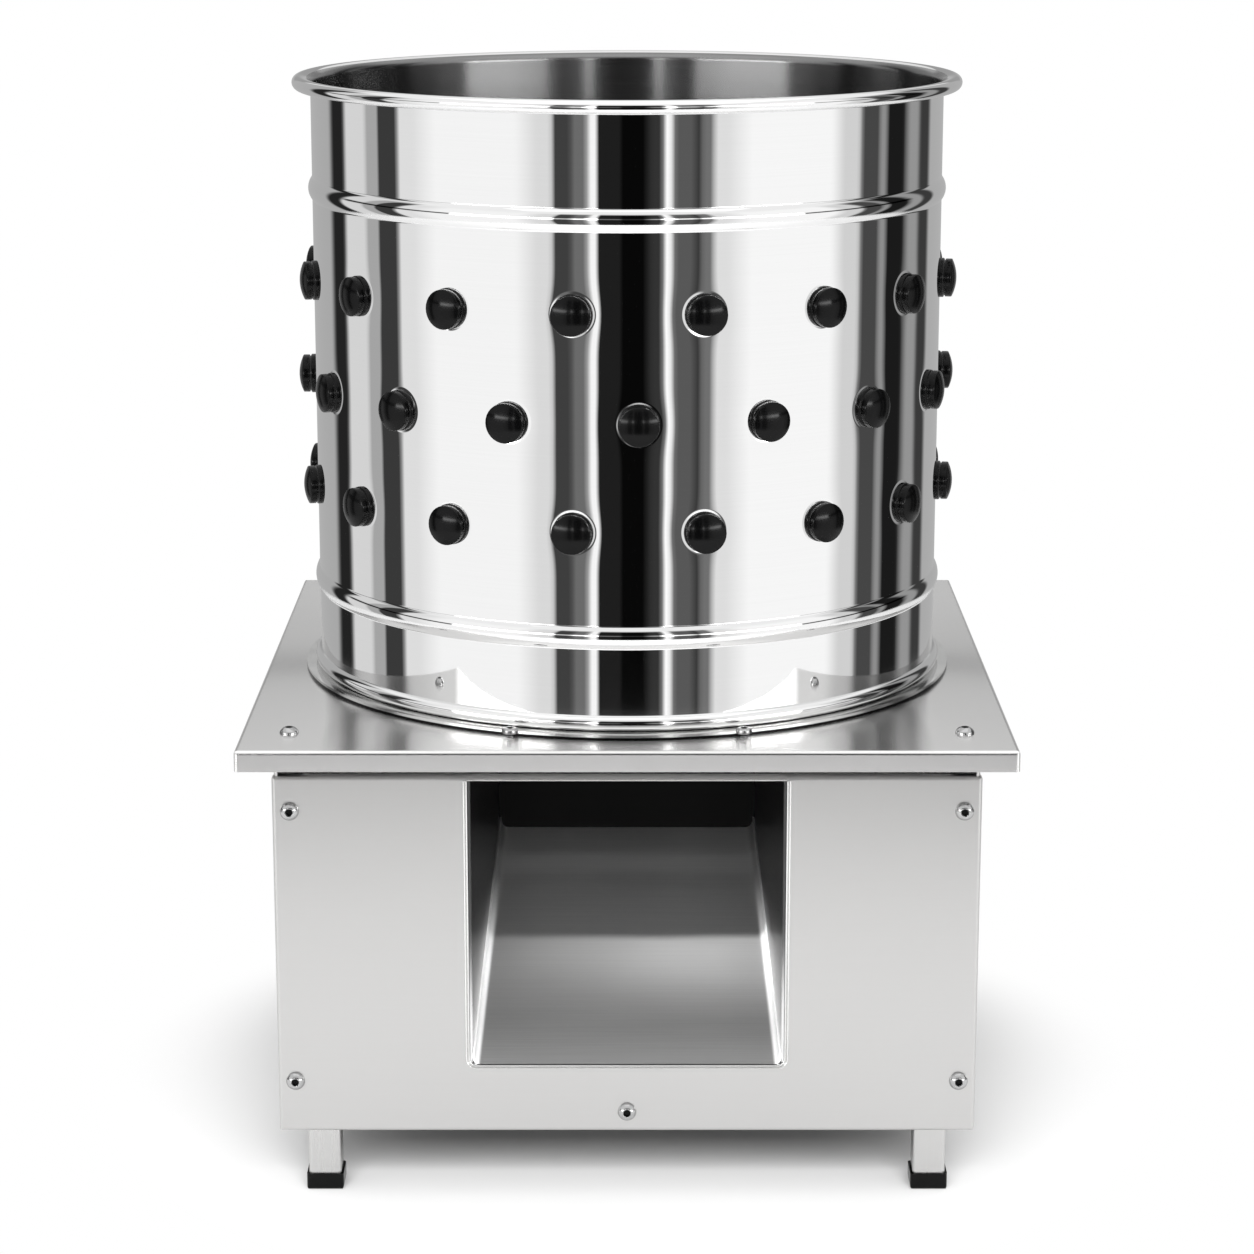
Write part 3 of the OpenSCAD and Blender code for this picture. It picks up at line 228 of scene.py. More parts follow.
sky = room.node("ShaderNodeLightPath", out="Is Camera Ray").colours(room, WHITE)
glow = sky.node("ShaderNodeBackground", {}, {"Color": sky, "Strength": 1.0})
glow.node("ShaderNodeOutputWorld", {}, {"Surface": glow})
print("studio has", len(world.node_tree.nodes), "nodes")

# %% [markdown]
# ## The floor
# The machine stands on a white sweep that fades out of sight. The floor is one
# wide disc. Near the machine it shows in the steel, as a real floor does, and
# farther off reflections pass through it to the boards, because the drum's upright
# wall mirrors downwards as far as the eye looks down. A wide box in front, turned
# to the machine, sends light in under the cabinet, so the shadow there stays thin.
# It would show as a second sun in the steel, so mirrors don't see it.

# %% Floor
FLOOR_R = 60.0
# In metres from the middle: where mirrors lose sight of the floor, and where it turns plain white
FLOOR_SHOWN, FLOOR_WHITE = (1.2, 1.72), (0.3, 0.45)
FLOOR_GREYS = (0.62, 0.62, 0.62, 1), (0.64, 0.64, 0.64, 1)
bpy.ops.mesh.primitive_circle_add(vertices=96, radius=FLOOR_R, fill_type="NGON")
floor = bpy.context.object
floor.name = "floor"
sweep = bpy.data.materials.new("white_sweep")
sweep.use_nodes = True
sweep.node_tree.nodes.clear()
spot = Wire(sweep.node_tree).node("ShaderNodeTexCoord", out="Object")
away = spot.node("ShaderNodeVectorMath", {"operation": "LENGTH"}, {0: spot}, out="Value")
mottle = spot.node("ShaderNodeTexNoise", {}, {"Vector": spot, "Scale": 2.0, "Detail": 2.0})
seen = spot.node("ShaderNodeLightPath", out="Is Camera Ray")
glossy = spot.node("ShaderNodeLightPath", out="Is Glossy Ray")
cloth = spot.node("ShaderNodeBsdfDiffuse", {}, {"Color": mottle.colours(*FLOOR_GREYS)})
clear = spot.node("ShaderNodeBsdfTransparent")
plain = spot.node("ShaderNodeEmission", {}, {"Color": WHITE, "Strength": 1.0})
fades = seen * away.smooth(*FLOOR_WHITE)
fading = spot.node("ShaderNodeMixShader", {}, {0: fades, 1: cloth, 2: plain})
lets_through = glossy * away.smooth(*FLOOR_SHOWN)
sheet = spot.node("ShaderNodeMixShader", {}, {0: lets_through, 1: fading, 2: clear})
sheet.node("ShaderNodeOutputMaterial", {}, {"Surface": sheet})
floor.data.materials.append(sweep)
print("floor of radius", FLOOR_R, "m")

# %% Lamps
def soft_box(name, at, tilt, width, depth, energy):
    """A rectangular lamp, turned from straight down towards the back by a tilt in degrees."""
    lamp = bpy.data.lights.new(name, "AREA")
    lamp.shape, lamp.size, lamp.size_y, lamp.energy = "RECTANGLE", width, depth, energy
    box = bpy.data.objects.new(name, lamp)
    box.location, box.rotation_euler = at, (math.radians(tilt), 0, 0)
    scene.collection.objects.link(box)
    return box


soft_box("overhead_box", at=(0, -0.5, 3.0), tilt=0, width=3.0, depth=2.4, energy=8)
front_box = soft_box("front_box", at=(0, -3.4, 2.2), tilt=57, width=3.5, depth=1.4, energy=265)
front_box.visible_glossy = False
print("lit by", front_box.name, "and a box overhead")

# %% [markdown]
# ## Finishes: a place to start
# Each finish is the Principled shader with its steady numbers on its own sockets,
# and only what changes over the surface wired in. Brushed and polished steel get
# their look from streaks: noise squeezed across the direction of the brush. The
# streaks change the roughness a little and lift a faint bump.

# %% Helpers for finishes
def finish(name, colour, roughness, metallic=0.0, **sockets):
    """A material with its constants set; returns it, its shader and its coordinates."""
    material = bpy.data.materials.new(name)
    material.use_nodes = True
    shader = material.node_tree.nodes["Principled BSDF"]
    constants = {"Base Color": (*colour, 1), "Roughness": roughness, "Metallic": metallic}
    for socket, value in {**constants, **sockets}.items():
        shader.inputs[socket].default_value = value
    return material, shader, Wire(material.node_tree).node("ShaderNodeTexCoord", out="Object")


def feed(shader, socket, wire):
    """Wires a changing value into one of the shader's sockets."""
    wire.tree.links.new(wire.socket, shader.inputs[socket])


def noise(place, scale, detail=2.0, stretch=(1, 1, 1)):
    """Soft noise, squeezed by a different factor along each axis."""
    laid = place.node("ShaderNodeMapping", {}, {"Vector": place, "Scale": stretch})
    return place.node("ShaderNodeTexNoise", {}, {"Vector": laid, "Scale": scale, "Detail": detail})


def bump(shader, height, strength, depth):
    """Lets a value stand out of the surface, by a depth in metres."""
    feed(shader, "Normal", height.node(
        "ShaderNodeBump", {}, {"Strength": strength, "Distance": depth, "Height": height}))


def tint(fac, low, high):
    """A colour between two opaque ones, by a value."""
    return fac.colours((*low, 1), (*high, 1))


print("finish helpers are ready")

# %% [markdown]
# ## Polished drum steel
# The outside of the drum is buffed to a mirror on a turning fixture, so its last
# faint lines run round it. The inside is left brushed and is darkened as painted
# shade. Both are one sheet, so one material tells them apart by the way the surface
# faces: towards the axis is inside, as long as it is below the rolled rim. Lines that
# run round spread light upwards and downwards, so the shader's own anisotropy is turned
# a quarter. Close to each finger the hole's edge is drawn in, too finely for the
# mesh, so a bump that knows the distance to the nearest hole bends the light there.

# %% Where the holes are
DRUM_R, ROW_Z = 250.0, (521.5, 603.0, 684.5)
FINGERS, TURN = 16, 2.0
PITCH = 2 * math.pi / FINGERS


def row_turn(row):
    """Angle of a row's first hole from the front; the middle row is half a step off."""
    return math.radians(TURN) + (PITCH / 2 if row != 1 else 0)


def from_holes(spot):
    """For each row, how far a point of the wall is from the nearest hole, in metres."""
    bearing = spot.maths("ARCTAN2", spot.part("X"), spot.part("Y") * -1)
    for row, height in enumerate(ROW_Z):
        across = spot.maths("WRAP", bearing - row_turn(row), PITCH / 2, -PITCH / 2) * (DRUM_R * MM)
        up = spot.part("Z") - height * MM
        yield (across * across + up * up) ** 0.5


print(len(ROW_Z), "rows of", FINGERS, "holes")

# %% Drum steel
RIM_STARTS = 0.8401
LIP_REACH, LIP_DEPTH, LINE_DEPTH = (0.0145, 0.0178), 0.0003, 0.00002
MIRROR, LINE_SHADE, INSIDE_PAINTED_SHADE = 0.785, 0.03, 0.72
GLOSS, GLOSS_SPREAD, INSIDE_MATT, INSIDE_SPREAD = 0.015, 0.012, 0.15, 0.08
LINES_LEFT = 0.03
drum_steel, shader, place = finish("drum_steel", (0.80, 0.80, 0.80), 0.03, 1.0,
                                   **{"Anisotropic": 0.95, "Anisotropic Rotation": 0.25})
facing = place.node("ShaderNodeNewGeometry", out="Normal")
level = place.node("ShaderNodeVectorMath", {"operation": "MULTIPLY"}, {0: place, 1: (1, 1, 0)})
outward = place.node("ShaderNodeVectorMath", {"operation": "DOT_PRODUCT"},
                     {0: facing, 1: level}, out="Value")
inside = (outward < 0) * (place.part("Z") < RIM_STARTS)
lines = noise(place, 1.0, 3.0, (6, 6, 900))
clouds = noise(place, 7.0, 2.0)
lips = sum(1 - away.smooth(*LIP_REACH) for away in from_holes(place))
# Painted shade: the inside's colour is darkened, for the shade deep in the drum
feed(shader, "Base Color", (MIRROR + lines * LINE_SHADE) * (1 - inside * INSIDE_PAINTED_SHADE))
polish = GLOSS + lines * GLOSS_SPREAD + clouds * GLOSS_SPREAD
feed(shader, "Roughness", polish + inside * (INSIDE_MATT + lines * INSIDE_SPREAD))
bump(shader, lines * (inside + LINES_LEFT) * LINE_DEPTH - lips * (1 - inside) * LIP_DEPTH, 1.0, 1.0)
print("made", drum_steel.name)

# %% [markdown]
# ## Satin sheet
# The cabinet, the table and the legs are stainless sheet with a fine satin grain.
# On upright sheets the grain runs level, on the table it runs from side to side,
# and on the tube it runs along the tube. The pattern is the same noise with its
# squeeze turned, so one helper makes all three.

# %% Satin steel
GRAIN_SHARE, HANDS_SHARE, SHADE = 0.6, 0.4, 0.94


def satin(name, colour, roughness, stretch, spread=0.1, **sockets):
    """Sheet with fine grain; the stretch is small along the grain and large across."""
    material, shader, place = finish(name, colour, roughness, 1.0, **sockets)
    streaks = noise(place, 1.0, 4.0, stretch)
    hands = noise(place, 5.0, 3.0)
    wear = streaks * GRAIN_SHARE + hands * HANDS_SHARE
    shade = tuple(c * SHADE for c in colour)
    feed(shader, "Base Color", tint(wear, shade, colour))
    feed(shader, "Roughness", roughness - spread / 2 + wear * spread)
    bump(shader, streaks, 0.1, 0.0001)
    return material


LEVEL_GRAIN, SIDEWAYS_GRAIN, UPRIGHT_GRAIN = (14, 14, 1500), (14, 1500, 1500), (1500, 1500, 14)
panel_steel = satin("panel_steel", (0.565, 0.561, 0.556), 0.32, LEVEL_GRAIN)
table_steel = satin("table_steel", (0.82, 0.815, 0.81), 0.18, SIDEWAYS_GRAIN, 0.06,
                    **{"Anisotropic": 1.0, "Anisotropic Rotation": 0.25})
tube_steel = satin("tube_steel", (0.58, 0.577, 0.572), 0.28, UPRIGHT_GRAIN)
print("made", panel_steel.name, table_steel.name, tube_steel.name)

# %% [markdown]
# ## Chute steel
# Wet feathers slide down the chute all day. Its floor carries painted light: a pale,
# matt band across the middle, brighter to the right, stands for light falling in
# from above; the bends along its sides are painted highlights; and a fainter pale
# band lies near its upper end. The side walls darken upwards as painted shade, and
# the back wall is painted near black as shade. All of it follows the chute's own
# coordinates: how far along it, how far from its side, and how high.

# %% Chute floor finish
LIP_Y, END_Y, LIP_HALF, END_NARROWER = -0.2655, -0.07, 0.1166, 0.015
BEND_HIGHLIGHT_W, RAGGED, RIGHT_LIGHT_GAIN = (0.002, 0.005), 0.02, 4
# Parts of the way from the lip to the upper end
LANDING_LIGHT_IN, LANDING_LIGHT_OUT = (0.12, 0.48), (0.5, 0.54)
UPPER_LIGHT_IN, UPPER_LIGHT_OUT, BEND_HIGHLIGHT_OUT = (0.76, 0.84), (0.86, 0.9), (0.35, 0.85)
DULL = {"Specular IOR Level": 0.1}
chute_steel, shader, place = finish("chute_steel", (0.6, 0.6, 0.6), 0.4, 1.0, **DULL)
brush = noise(place, 1.0, 4.0, (10, 900, 900))
patches = noise(place, 9.0, 3.0)
along = (place.part("Y") - LIP_Y) / (END_Y - LIP_Y)
from_side = LIP_HALF - along * END_NARROWER - place.maths("ABSOLUTE", place.part("X"))
uneven = along + patches * RAGGED - RAGGED / 2
# Painted light: a pale, matt band across the middle of the floor stands for light falling in from above,
# made brighter to the right as painted light from that side
light_from_right = 1 + place.part("X") * RIGHT_LIGHT_GAIN
landing_light = uneven.smooth(*LANDING_LIGHT_IN) * (1 - uneven.smooth(*LANDING_LIGHT_OUT)) * light_from_right
# Painted light: a fainter pale band near the upper end of the floor
upper_light_band = uneven.smooth(*UPPER_LIGHT_IN) * (1 - uneven.smooth(*UPPER_LIGHT_OUT))
# Painted highlight: the bends along the sides are made pale and matt
bend_highlight = (1 - from_side.smooth(*BEND_HIGHLIGHT_W)) * (1 - along.smooth(*BEND_HIGHLIGHT_OUT))
# A small even matt share plus the painted light of the bands; it takes metal away so the front lamp
# lights them
matt_film_and_painted_light = 0.04 + landing_light * (0.09 + patches * 0.13) + upper_light_band * 0.05 + bend_highlight * 0.5
feed(shader, "Base Color", 0.35 + landing_light * 0.3 + bend_highlight * 0.45 + brush * 0.1)
feed(shader, "Metallic", 1 - matt_film_and_painted_light)
feed(shader, "Roughness", 0.32 + brush * 0.16)
bump(shader, brush, 0.1, 0.0001)
print("made", chute_steel.name)

# %% Chute wall finish
BACK_WALL_Y, UPWARD_SHADE_Z = -0.0735, (0.15, 0.24)
wall_steel, shader, place = finish("chute_wall_steel", (0.6, 0.6, 0.6), 0.3, 1.0, **DULL)
brush = noise(place, 1.0, 4.0, (900, 10, 900))
# Painted shade: the side walls darken upwards towards the shade under the table, and their lower part is
# less metallic so the front lamp lights it
upward_shade = (place.part("Z") + noise(place, 12.0, 3.0) * 0.03).smooth(*UPWARD_SHADE_Z)
# Painted shade: the back wall is made near black and matt, standing for the dark space behind it
back_wall_shade = place.part("Y") > BACK_WALL_Y
feed(shader, "Base Color", (0.68 - upward_shade * 0.6 + brush * 0.04) * (1 - back_wall_shade * 0.99))
feed(shader, "Metallic", (1 - back_wall_shade) * (0.75 + upward_shade * 0.25))
feed(shader, "Roughness", 0.24 + brush * 0.12 + back_wall_shade * 0.3)
bump(shader, brush, 0.1, 0.0001)
print("made", wall_steel.name)

# %% [markdown]
# ## Bright steel
# The base ring, the folded edge of the outlet and the finger plate are polished
# but handled metal. Small clouds of wear make the gloss uneven, and hair scratches
# break it where hands and feathers pass.

# %% Bright steel
bright_steel, shader, place = finish("bright_steel", (0.78, 0.78, 0.775), 0.12, 1.0)
wear = noise(place, 40.0, 3.0)
hairs = noise(place, 1.0, 2.0, (1100, 60, 700))
feed(shader, "Base Color", tint(wear, (0.72, 0.72, 0.715), (0.82, 0.82, 0.81)))
feed(shader, "Roughness", 0.07 + wear * 0.08 + hairs * 0.05)
bump(shader, hairs, 0.05, 0.0001)
print("made", bright_steel.name)

# %% [markdown]
# ## Screw steel
# Screws are darker than sheet, because they are hardened. Their key sockets are
# darkened to near black as painted shade. The lathe below marks the socket with an
# attribute, so the finish knows where it is without a second material.

# %% Screw steel
screw_steel, shader, place = finish("screw_steel", (0.6, 0.6, 0.6), 0.12, 1.0)
wear = noise(place, 260.0, 3.0)
# Painted shade: the key socket is darkened to near black
socket_shade = place.node("ShaderNodeAttribute", {"attribute_name": "socket"}, out="Fac").smooth(0.3, 0.9)
feed(shader, "Base Color", (0.4 + wear * 0.12) * (1 - socket_shade * 0.97))
feed(shader, "Roughness", 0.08 + wear * 0.08 + socket_shade * 0.3)
bump(shader, wear, 0.04, 0.0001)
print("made", screw_steel.name)

# %% [markdown]
# ## Moulded rubber
# The fingers, the boots under the legs, the gasket and the belt are black rubber.
# Moulded rubber is not quite black: it has a soft bloom that greys it in patches
# and a fine matt skin. Two scales of noise give both. A weak coat adds the sheen
# that new rubber has from its mould.

# %% Rubber
rubber, shader, place = finish("rubber", (0.001, 0.001, 0.001), 0.2, **{
    "Specular IOR Level": 0.05, "Coat Weight": 0.2, "Coat Roughness": 0.14, "Coat IOR": 1.5})
bloom = noise(place, 30.0, 4.0)
skin = noise(place, 900.0, 2.0)
feed(shader, "Base Color", tint(bloom, (0.0004, 0.0004, 0.0005), (0.0016, 0.0016, 0.0016)))
feed(shader, "Roughness", 0.16 + bloom * 0.1 + skin * 0.06)
bump(shader, skin, 0.015, 0.0002)
print("made", rubber.name)

# %% [markdown]
# ## Metal of the drive
# Under the table sit the parts that turn: shafts and rings of turned steel, cast
# pulleys and bearing housings. Turned steel keeps rings of tool marks and darkens
# with oil, and castings are rough and a little brown in their hollows.

# %% Turned steel and castings
turned_steel, shader, place = finish("turned_steel", (0.52, 0.53, 0.54), 0.3, 1.0)
marks = noise(place, 1.0, 2.0, (40, 40, 1400))
oil = noise(place, 22.0, 4.0)
feed(shader, "Base Color", tint(oil, (0.36, 0.36, 0.36), (0.6, 0.61, 0.62)))
feed(shader, "Roughness", 0.2 + marks * 0.2 + oil * 0.08)
bump(shader, marks, 0.15, 0.0002)

casting, shader, place = finish("casting", (0.16, 0.16, 0.165), 0.6, 0.55)
sand = noise(place, 420.0, 4.0)
rust = noise(place, 14.0, 5.0)
feed(shader, "Base Color", tint(rust.smooth(0.35, 0.75), (0.15, 0.155, 0.16), (0.2, 0.165, 0.135)))
feed(shader, "Roughness", 0.48 + sand * 0.3)
bump(shader, sand, 0.4, 0.0006)
print("made", turned_steel.name, casting.name)

# %% [markdown]
# ## Paint, copper and plastic
# The motor is enamelled, its windings are varnished copper between iron plates,
# and the switch is moulded plastic. Enamel pulls into a skin like orange peel,
# copper shows as fine wires, and plastic takes a faint spark-eroded texture.

# %% Motor and switch finishes
enamel, shader, place = finish("motor_enamel", (0.10, 0.17, 0.25), 0.34)
peel = noise(place, 260.0, 2.0)
dust = noise(place, 9.0, 5.0).smooth(0.45, 0.8)
feed(shader, "Base Color", tint(dust, (0.085, 0.15, 0.225), (0.16, 0.22, 0.29)))
feed(shader, "Roughness", 0.26 + peel * 0.1 + dust * 0.25)
bump(shader, peel, 0.25, 0.0004)

copper, shader, place = finish("varnished_windings", (0.5, 0.2, 0.07), 0.35, 0.8)
wires = place.node("ShaderNodeTexWave", {"bands_direction": "Z"},
                   {"Vector": place, "Scale": 160.0, "Distortion": 1.5, "Detail": 2.0}, out="Fac")
feed(shader, "Base Color", tint(wires, (0.16, 0.06, 0.025), (0.62, 0.27, 0.1)))
feed(shader, "Roughness", 0.28 + wires * 0.2)
bump(shader, wires, 0.4, 0.0008)


def plastic(name, low, high, gloss):
    """Moulded plastic with a faint grain."""
    material, shader, place = finish(name, high, gloss)
    cloud, spark = noise(place, 25.0, 3.0), noise(place, 700.0, 2.0)
    feed(shader, "Base Color", tint(cloud, low, high))
    feed(shader, "Roughness", gloss + spark * 0.15)
    bump(shader, spark, 0.2, 0.0002)
    return material


black_plastic = plastic("black_plastic", (0.012, 0.012, 0.013), (0.03, 0.03, 0.031), 0.38)
green_plastic = plastic("green_plastic", (0.012, 0.2, 0.05), (0.02, 0.27, 0.07), 0.22)
red_plastic = plastic("red_plastic", (0.42, 0.014, 0.012), (0.52, 0.022, 0.018), 0.22)
print("made", enamel.name, copper.name, black_plastic.name, green_plastic.name, red_plastic.name)

# %% [markdown]
# ## Dressing the pieces that keep their shape
# The record says which slot each node belongs to. A slot's finish goes to all its
# nodes, and a few nodes name their own: the table's grain runs from side to side,
# the tubes' grain runs upright, and the chute's walls have their stains.

# %% Give every node its finish
SLOT_FINISH = {
    "polished_steel": bright_steel, "satin_steel": panel_steel, "chute_steel": chute_steel,
    "rubber": rubber, "machined_steel": turned_steel, "cast_iron": casting,
    "motor_paint": enamel, "windings": copper, "black_plastic": black_plastic,
    "green_plastic": green_plastic, "red_plastic": red_plastic,
}
OWN_FINISH = {"table": table_steel, "legs": tube_steel, "drum": drum_steel, "chute_walls": wall_steel}
for subpart in frame["record"]["subparts"]:
    node = nodes[subpart["node"]]
    for slot in node.material_slots:
        slot.material = OWN_FINISH.get(subpart["node"], SLOT_FINISH[subpart["material_slot"]])
print("dressed", len(nodes), "nodes")

# %% [markdown]
# ## Turned pieces from a profile
# The drum, the fingers and the screws are all round: a profile swung about an
# axis. A Screw modifier would do for one, but a node tree can swing the profile
# and then set copies in rings. The profile is a row of points whose X is the
# radius, whose Z is the height, and whose Y is 1 where the section is six-sided
# instead of round, for a key socket. The points become the rows of a grid, and the
# grid is rolled up.

# %% The lathe tree
def new_tree(name, **inputs):
    """An empty geometry tree with named inputs; returns it and its input wires."""
    tree = bpy.data.node_groups.new(name, "GeometryNodeTree")
    tree.interface.new_socket("Geometry", in_out="INPUT", socket_type="NodeSocketGeometry")
    for label, kind in inputs.items():
        tree.interface.new_socket(label, in_out="INPUT", socket_type="NodeSocket" + kind)
    tree.interface.new_socket("Geometry", in_out="OUTPUT", socket_type="NodeSocketGeometry")
    entry = tree.nodes.new("NodeGroupInput")
    return tree, {socket.name: Wire(tree, socket) for socket in entry.outputs if socket.name}


def close_tree(shape, material=None):
    """Ends a tree; with a material, copies become one real mesh that wears it."""
    if material:
        shape = shape.node("GeometryNodeRealizeInstances", {}, {0: shape})
        shape = shape.node("GeometryNodeSetMaterial", {}, {"Geometry": shape, "Material": material})
    shape.node("NodeGroupOutput", {}, {0: shape})


HEX = math.pi / 3
SEAM, SHARP = 0.00002, math.radians(40)
lathe, given = new_tree("lathe", Segments="Int")
points = given["Geometry"]
count = points.node("GeometryNodeAttributeDomainSize", {"component": "MESH"},
                    {0: points}, out="Point Count")
grid = points.node("GeometryNodeMeshGrid", {},
                   {"Vertices X": given["Segments"] + 1, "Vertices Y": count})
index = points.node("GeometryNodeInputIndex")
profile = points.node(
    "GeometryNodeSampleIndex", {"data_type": "FLOAT_VECTOR"},
    {"Geometry": points, "Value": points.node("GeometryNodeInputPosition"),
     "Index": index.maths("MODULO", index, count)})
swing = (index / count).maths("FLOOR", index / count) / given["Segments"] * (2 * math.pi)
wedge = swing.maths("WRAP", swing, HEX / 2, -HEX / 2)
six_sided = math.cos(HEX / 2) / wedge.maths("COSINE", wedge)
radius = profile.part("X") * (1 + profile.part("Y") * (six_sided - 1))
rolled = grid.node("GeometryNodeSetPosition", {}, {
    "Geometry": grid,
    "Position": grid.node("ShaderNodeCombineXYZ", {}, {
        "X": radius * swing.maths("COSINE", swing), "Y": radius * swing.maths("SINE", swing),
        "Z": profile.part("Z")})})
marked = rolled.node("GeometryNodeStoreNamedAttribute", {"data_type": "FLOAT", "domain": "POINT"},
                     {"Geometry": rolled, "Name": "socket", "Value": profile.part("Y")})
sewn = marked.node("GeometryNodeMergeByDistance", {}, {"Geometry": marked, "Distance": SEAM})
corner = sewn.node("GeometryNodeInputMeshEdgeAngle") > SHARP
soft = sewn.node("GeometryNodeSetShadeSmooth", {"domain": "FACE"},
                 {"Geometry": sewn, "Shade Smooth": True})
close_tree(soft.node("GeometryNodeSetShadeSmooth", {"domain": "EDGE"},
                     {"Geometry": soft, "Selection": corner, "Shade Smooth": False}))
print("lathe tree has", len(lathe.nodes), "nodes")

# %% Running a tree and placing its piece
def profile_mesh(name, rows):
    """The lathe's points from (radius, height) or (radius, height, six-sided) in mm."""
    mesh = bpy.data.meshes.new(name)
    points = [(row[0] * MM, row[2] if len(row) > 2 else 0, row[1] * MM) for row in rows]
    mesh.from_pydata(points, [], [])
    return mesh


def make_piece(name, tree, mesh, **values):
    """Runs a tree on a mesh with the inputs given by label; leaves a plain mesh object."""
    piece = bpy.data.objects.new(name, mesh)
    scene.collection.objects.link(piece)
    step = piece.modifiers.new(tree.name, "NODES")
    step.node_group = tree
    for item in tree.interface.items_tree:
        if item.in_out == "INPUT" and item.name in values:
            step[item.identifier] = values[item.name]
    graph = bpy.context.evaluated_depsgraph_get()
    plain = bpy.data.meshes.new_from_object(piece.evaluated_get(graph), depsgraph=graph)
    piece.modifiers.clear()
    piece.data = plain
    print("made", name, "with", len(plain.polygons), "faces")
    return piece


def settle(piece, body, slot, *replaced):
    """Says what a piece rides on and hides the nodes it stands for; the slot is not used."""
    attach(piece, body)
    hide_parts(*replaced)


print("pieces can be made from", lathe.name)

# %% [markdown]
# ## The drum
# The drum is rolled from one sheet. Two beads are pressed round it to stiffen it,
# its foot is rolled outwards onto the base ring, and its rim is curled outwards and
# under so nothing cuts a hand. Each finger pulls its hole's edge inwards a
# little, and in a mirror that shows as bent light around every head. The profile
# gives the beads and the rim, and a second node step presses the shallow dimples.

# %% Drum profile
SHEET, FOOT_Z = 1.5, 369.5
FOOT_AT, FOOT_ROLL = (248.25, 375.5), 6.25
BEAD_R, BEAD_Z, BEAD_ROLL = 240.31, (441.5, 753.5), 12.89
RIM_Z, RIM_R, TUBE_R, UNDER_Z = 836.2, 259.2, 5.3, 831.0
INSIDE_R, CURL_Z = DRUM_R - SHEET, 834.5
CREASE, BULGE_STEPS, ROLL_STEPS, CURL_STEPS = 0.8, 14, 24, 12
FOOT_PITCH, HOLES_PITCH, TOP_PITCH = 30, 4.6, 40


def arc(centre_r, centre_z, size, start, end, steps):
    """Points along an arc, angles in degrees from outward."""
    turns = [math.radians(start + (end - start) * k / steps) for k in range(steps + 1)]
    return [(centre_r + size * math.cos(t), centre_z + size * math.sin(t)) for t in turns]


def run(radius, low, high, pitch):
    """Points up a straight wall; rows close to its ends keep the bend there short."""
    low, high = low + CREASE, high - CREASE
    steps = max(1, round((high - low) / pitch))
    return [(radius, low + (high - low) * k / steps) for k in range(steps + 1)]


def swell(wall, centre_r, centre_z, size):
    """A pressed bulge, from wall to wall."""
    half = math.degrees(math.acos((wall - centre_r) / size))
    return arc(centre_r, centre_z, size, -half, half, BULGE_STEPS)


def wall_points(wall, inset, top):
    """One face of the drum's wall from foot to top; the inset thins the bulges."""
    foot = swell(wall, *FOOT_AT, FOOT_ROLL - inset)
    lower, upper = [swell(wall, BEAD_R, z, BEAD_ROLL - inset) for z in BEAD_Z]
    rows = foot + run(wall, foot[-1][1], lower[0][1], FOOT_PITCH) + lower
    rows += run(wall, lower[-1][1], upper[0][1], HOLES_PITCH) + upper
    return rows + run(wall, upper[-1][1], top, TOP_PITCH)


outer = [(DRUM_R, FOOT_Z)] + wall_points(DRUM_R, 0, UNDER_Z)[1:] + [(DRUM_R, UNDER_Z)]
roll = arc(RIM_R, RIM_Z, TUBE_R, -100, 90, ROLL_STEPS)
curl_w, curl_h = RIM_R - INSIDE_R, RIM_Z + TUBE_R - CURL_Z
curl = [(RIM_R - curl_w * math.sin(t), CURL_Z + curl_h * math.cos(t))
        for t in [math.pi / 2 * k / CURL_STEPS for k in range(1, CURL_STEPS + 1)]]
inner = wall_points(INSIDE_R, SHEET, CURL_Z)[::-1] + [(INSIDE_R, FOOT_Z)]
drum_rows = outer + roll + curl + inner + outer[:1]
print("drum profile has", len(drum_rows), "points")

# %% Drum tree and piece
drum_tree, given = new_tree("pressed_drum", Segments="Int", Depth="Float", Reach="Float",
                            Material="Material")
shell = given["Geometry"].node("GeometryNodeGroup", {"group": lathe},
                               {0: given["Geometry"], "Segments": given["Segments"]})
spot = shell.node("GeometryNodeInputPosition")
press = sum(spot.maths("MAXIMUM", 1 - away / given["Reach"], 0) ** 3 for away in from_holes(spot))
inward = spot.node("ShaderNodeVectorMath", {"operation": "NORMALIZE"}, {
    0: spot.node("ShaderNodeVectorMath", {"operation": "MULTIPLY"}, {0: spot, 1: (-1, -1, 0)})})
push = spot.node("ShaderNodeVectorMath", {"operation": "SCALE"},
                 {0: inward, "Scale": press * given["Depth"]})
pressed = shell.node("GeometryNodeSetPosition", {}, {"Geometry": shell, "Offset": push})
close_tree(pressed, given["Material"])
drum = make_piece("drum_shell", drum_tree, profile_mesh("drum_profile", drum_rows),
                  Segments=320, Depth=0.5 * MM, Reach=40 * MM, Material=drum_steel)
settle(drum, "base", "polished_steel", "drum")

# %% [markdown]
# ## The rubber fingers
# A plucking finger is moulded rubber: a ribbed, tapering body that beats the
# feathers, a neck that snaps into the hole, and a wide head outside with a
# collar, a groove and a domed cap. One profile makes it, and a node tree sets
# copies in a ring, tipped over to stand out of the drum's wall. Every head would
# show twice in the mirror behind it, so the heads are kept out of reflections.

# %% Finger profile
BODY, RIBS, RIB_PITCH, RIB_OUT = 84.0, 7, 10.5, 1.3
RIB_START, RIB_STEPS, RIB_ROUND = 3.5, 8, 0.7
ROOT_R, TAPER, NECK_R, SHOULDER_R, SHOULDER_H = 9.8, 2.2, 9.3, 11.1, 4.5
COLLAR_R, COLLAR_H, COLLAR_ROUND = 15.5, 2.9, 1.1
GROOVE_R, CAP_R, CAP_H, DOME_H, DOME_TOP = 14.0, 15.0, 9.3, 3.6, 13.6


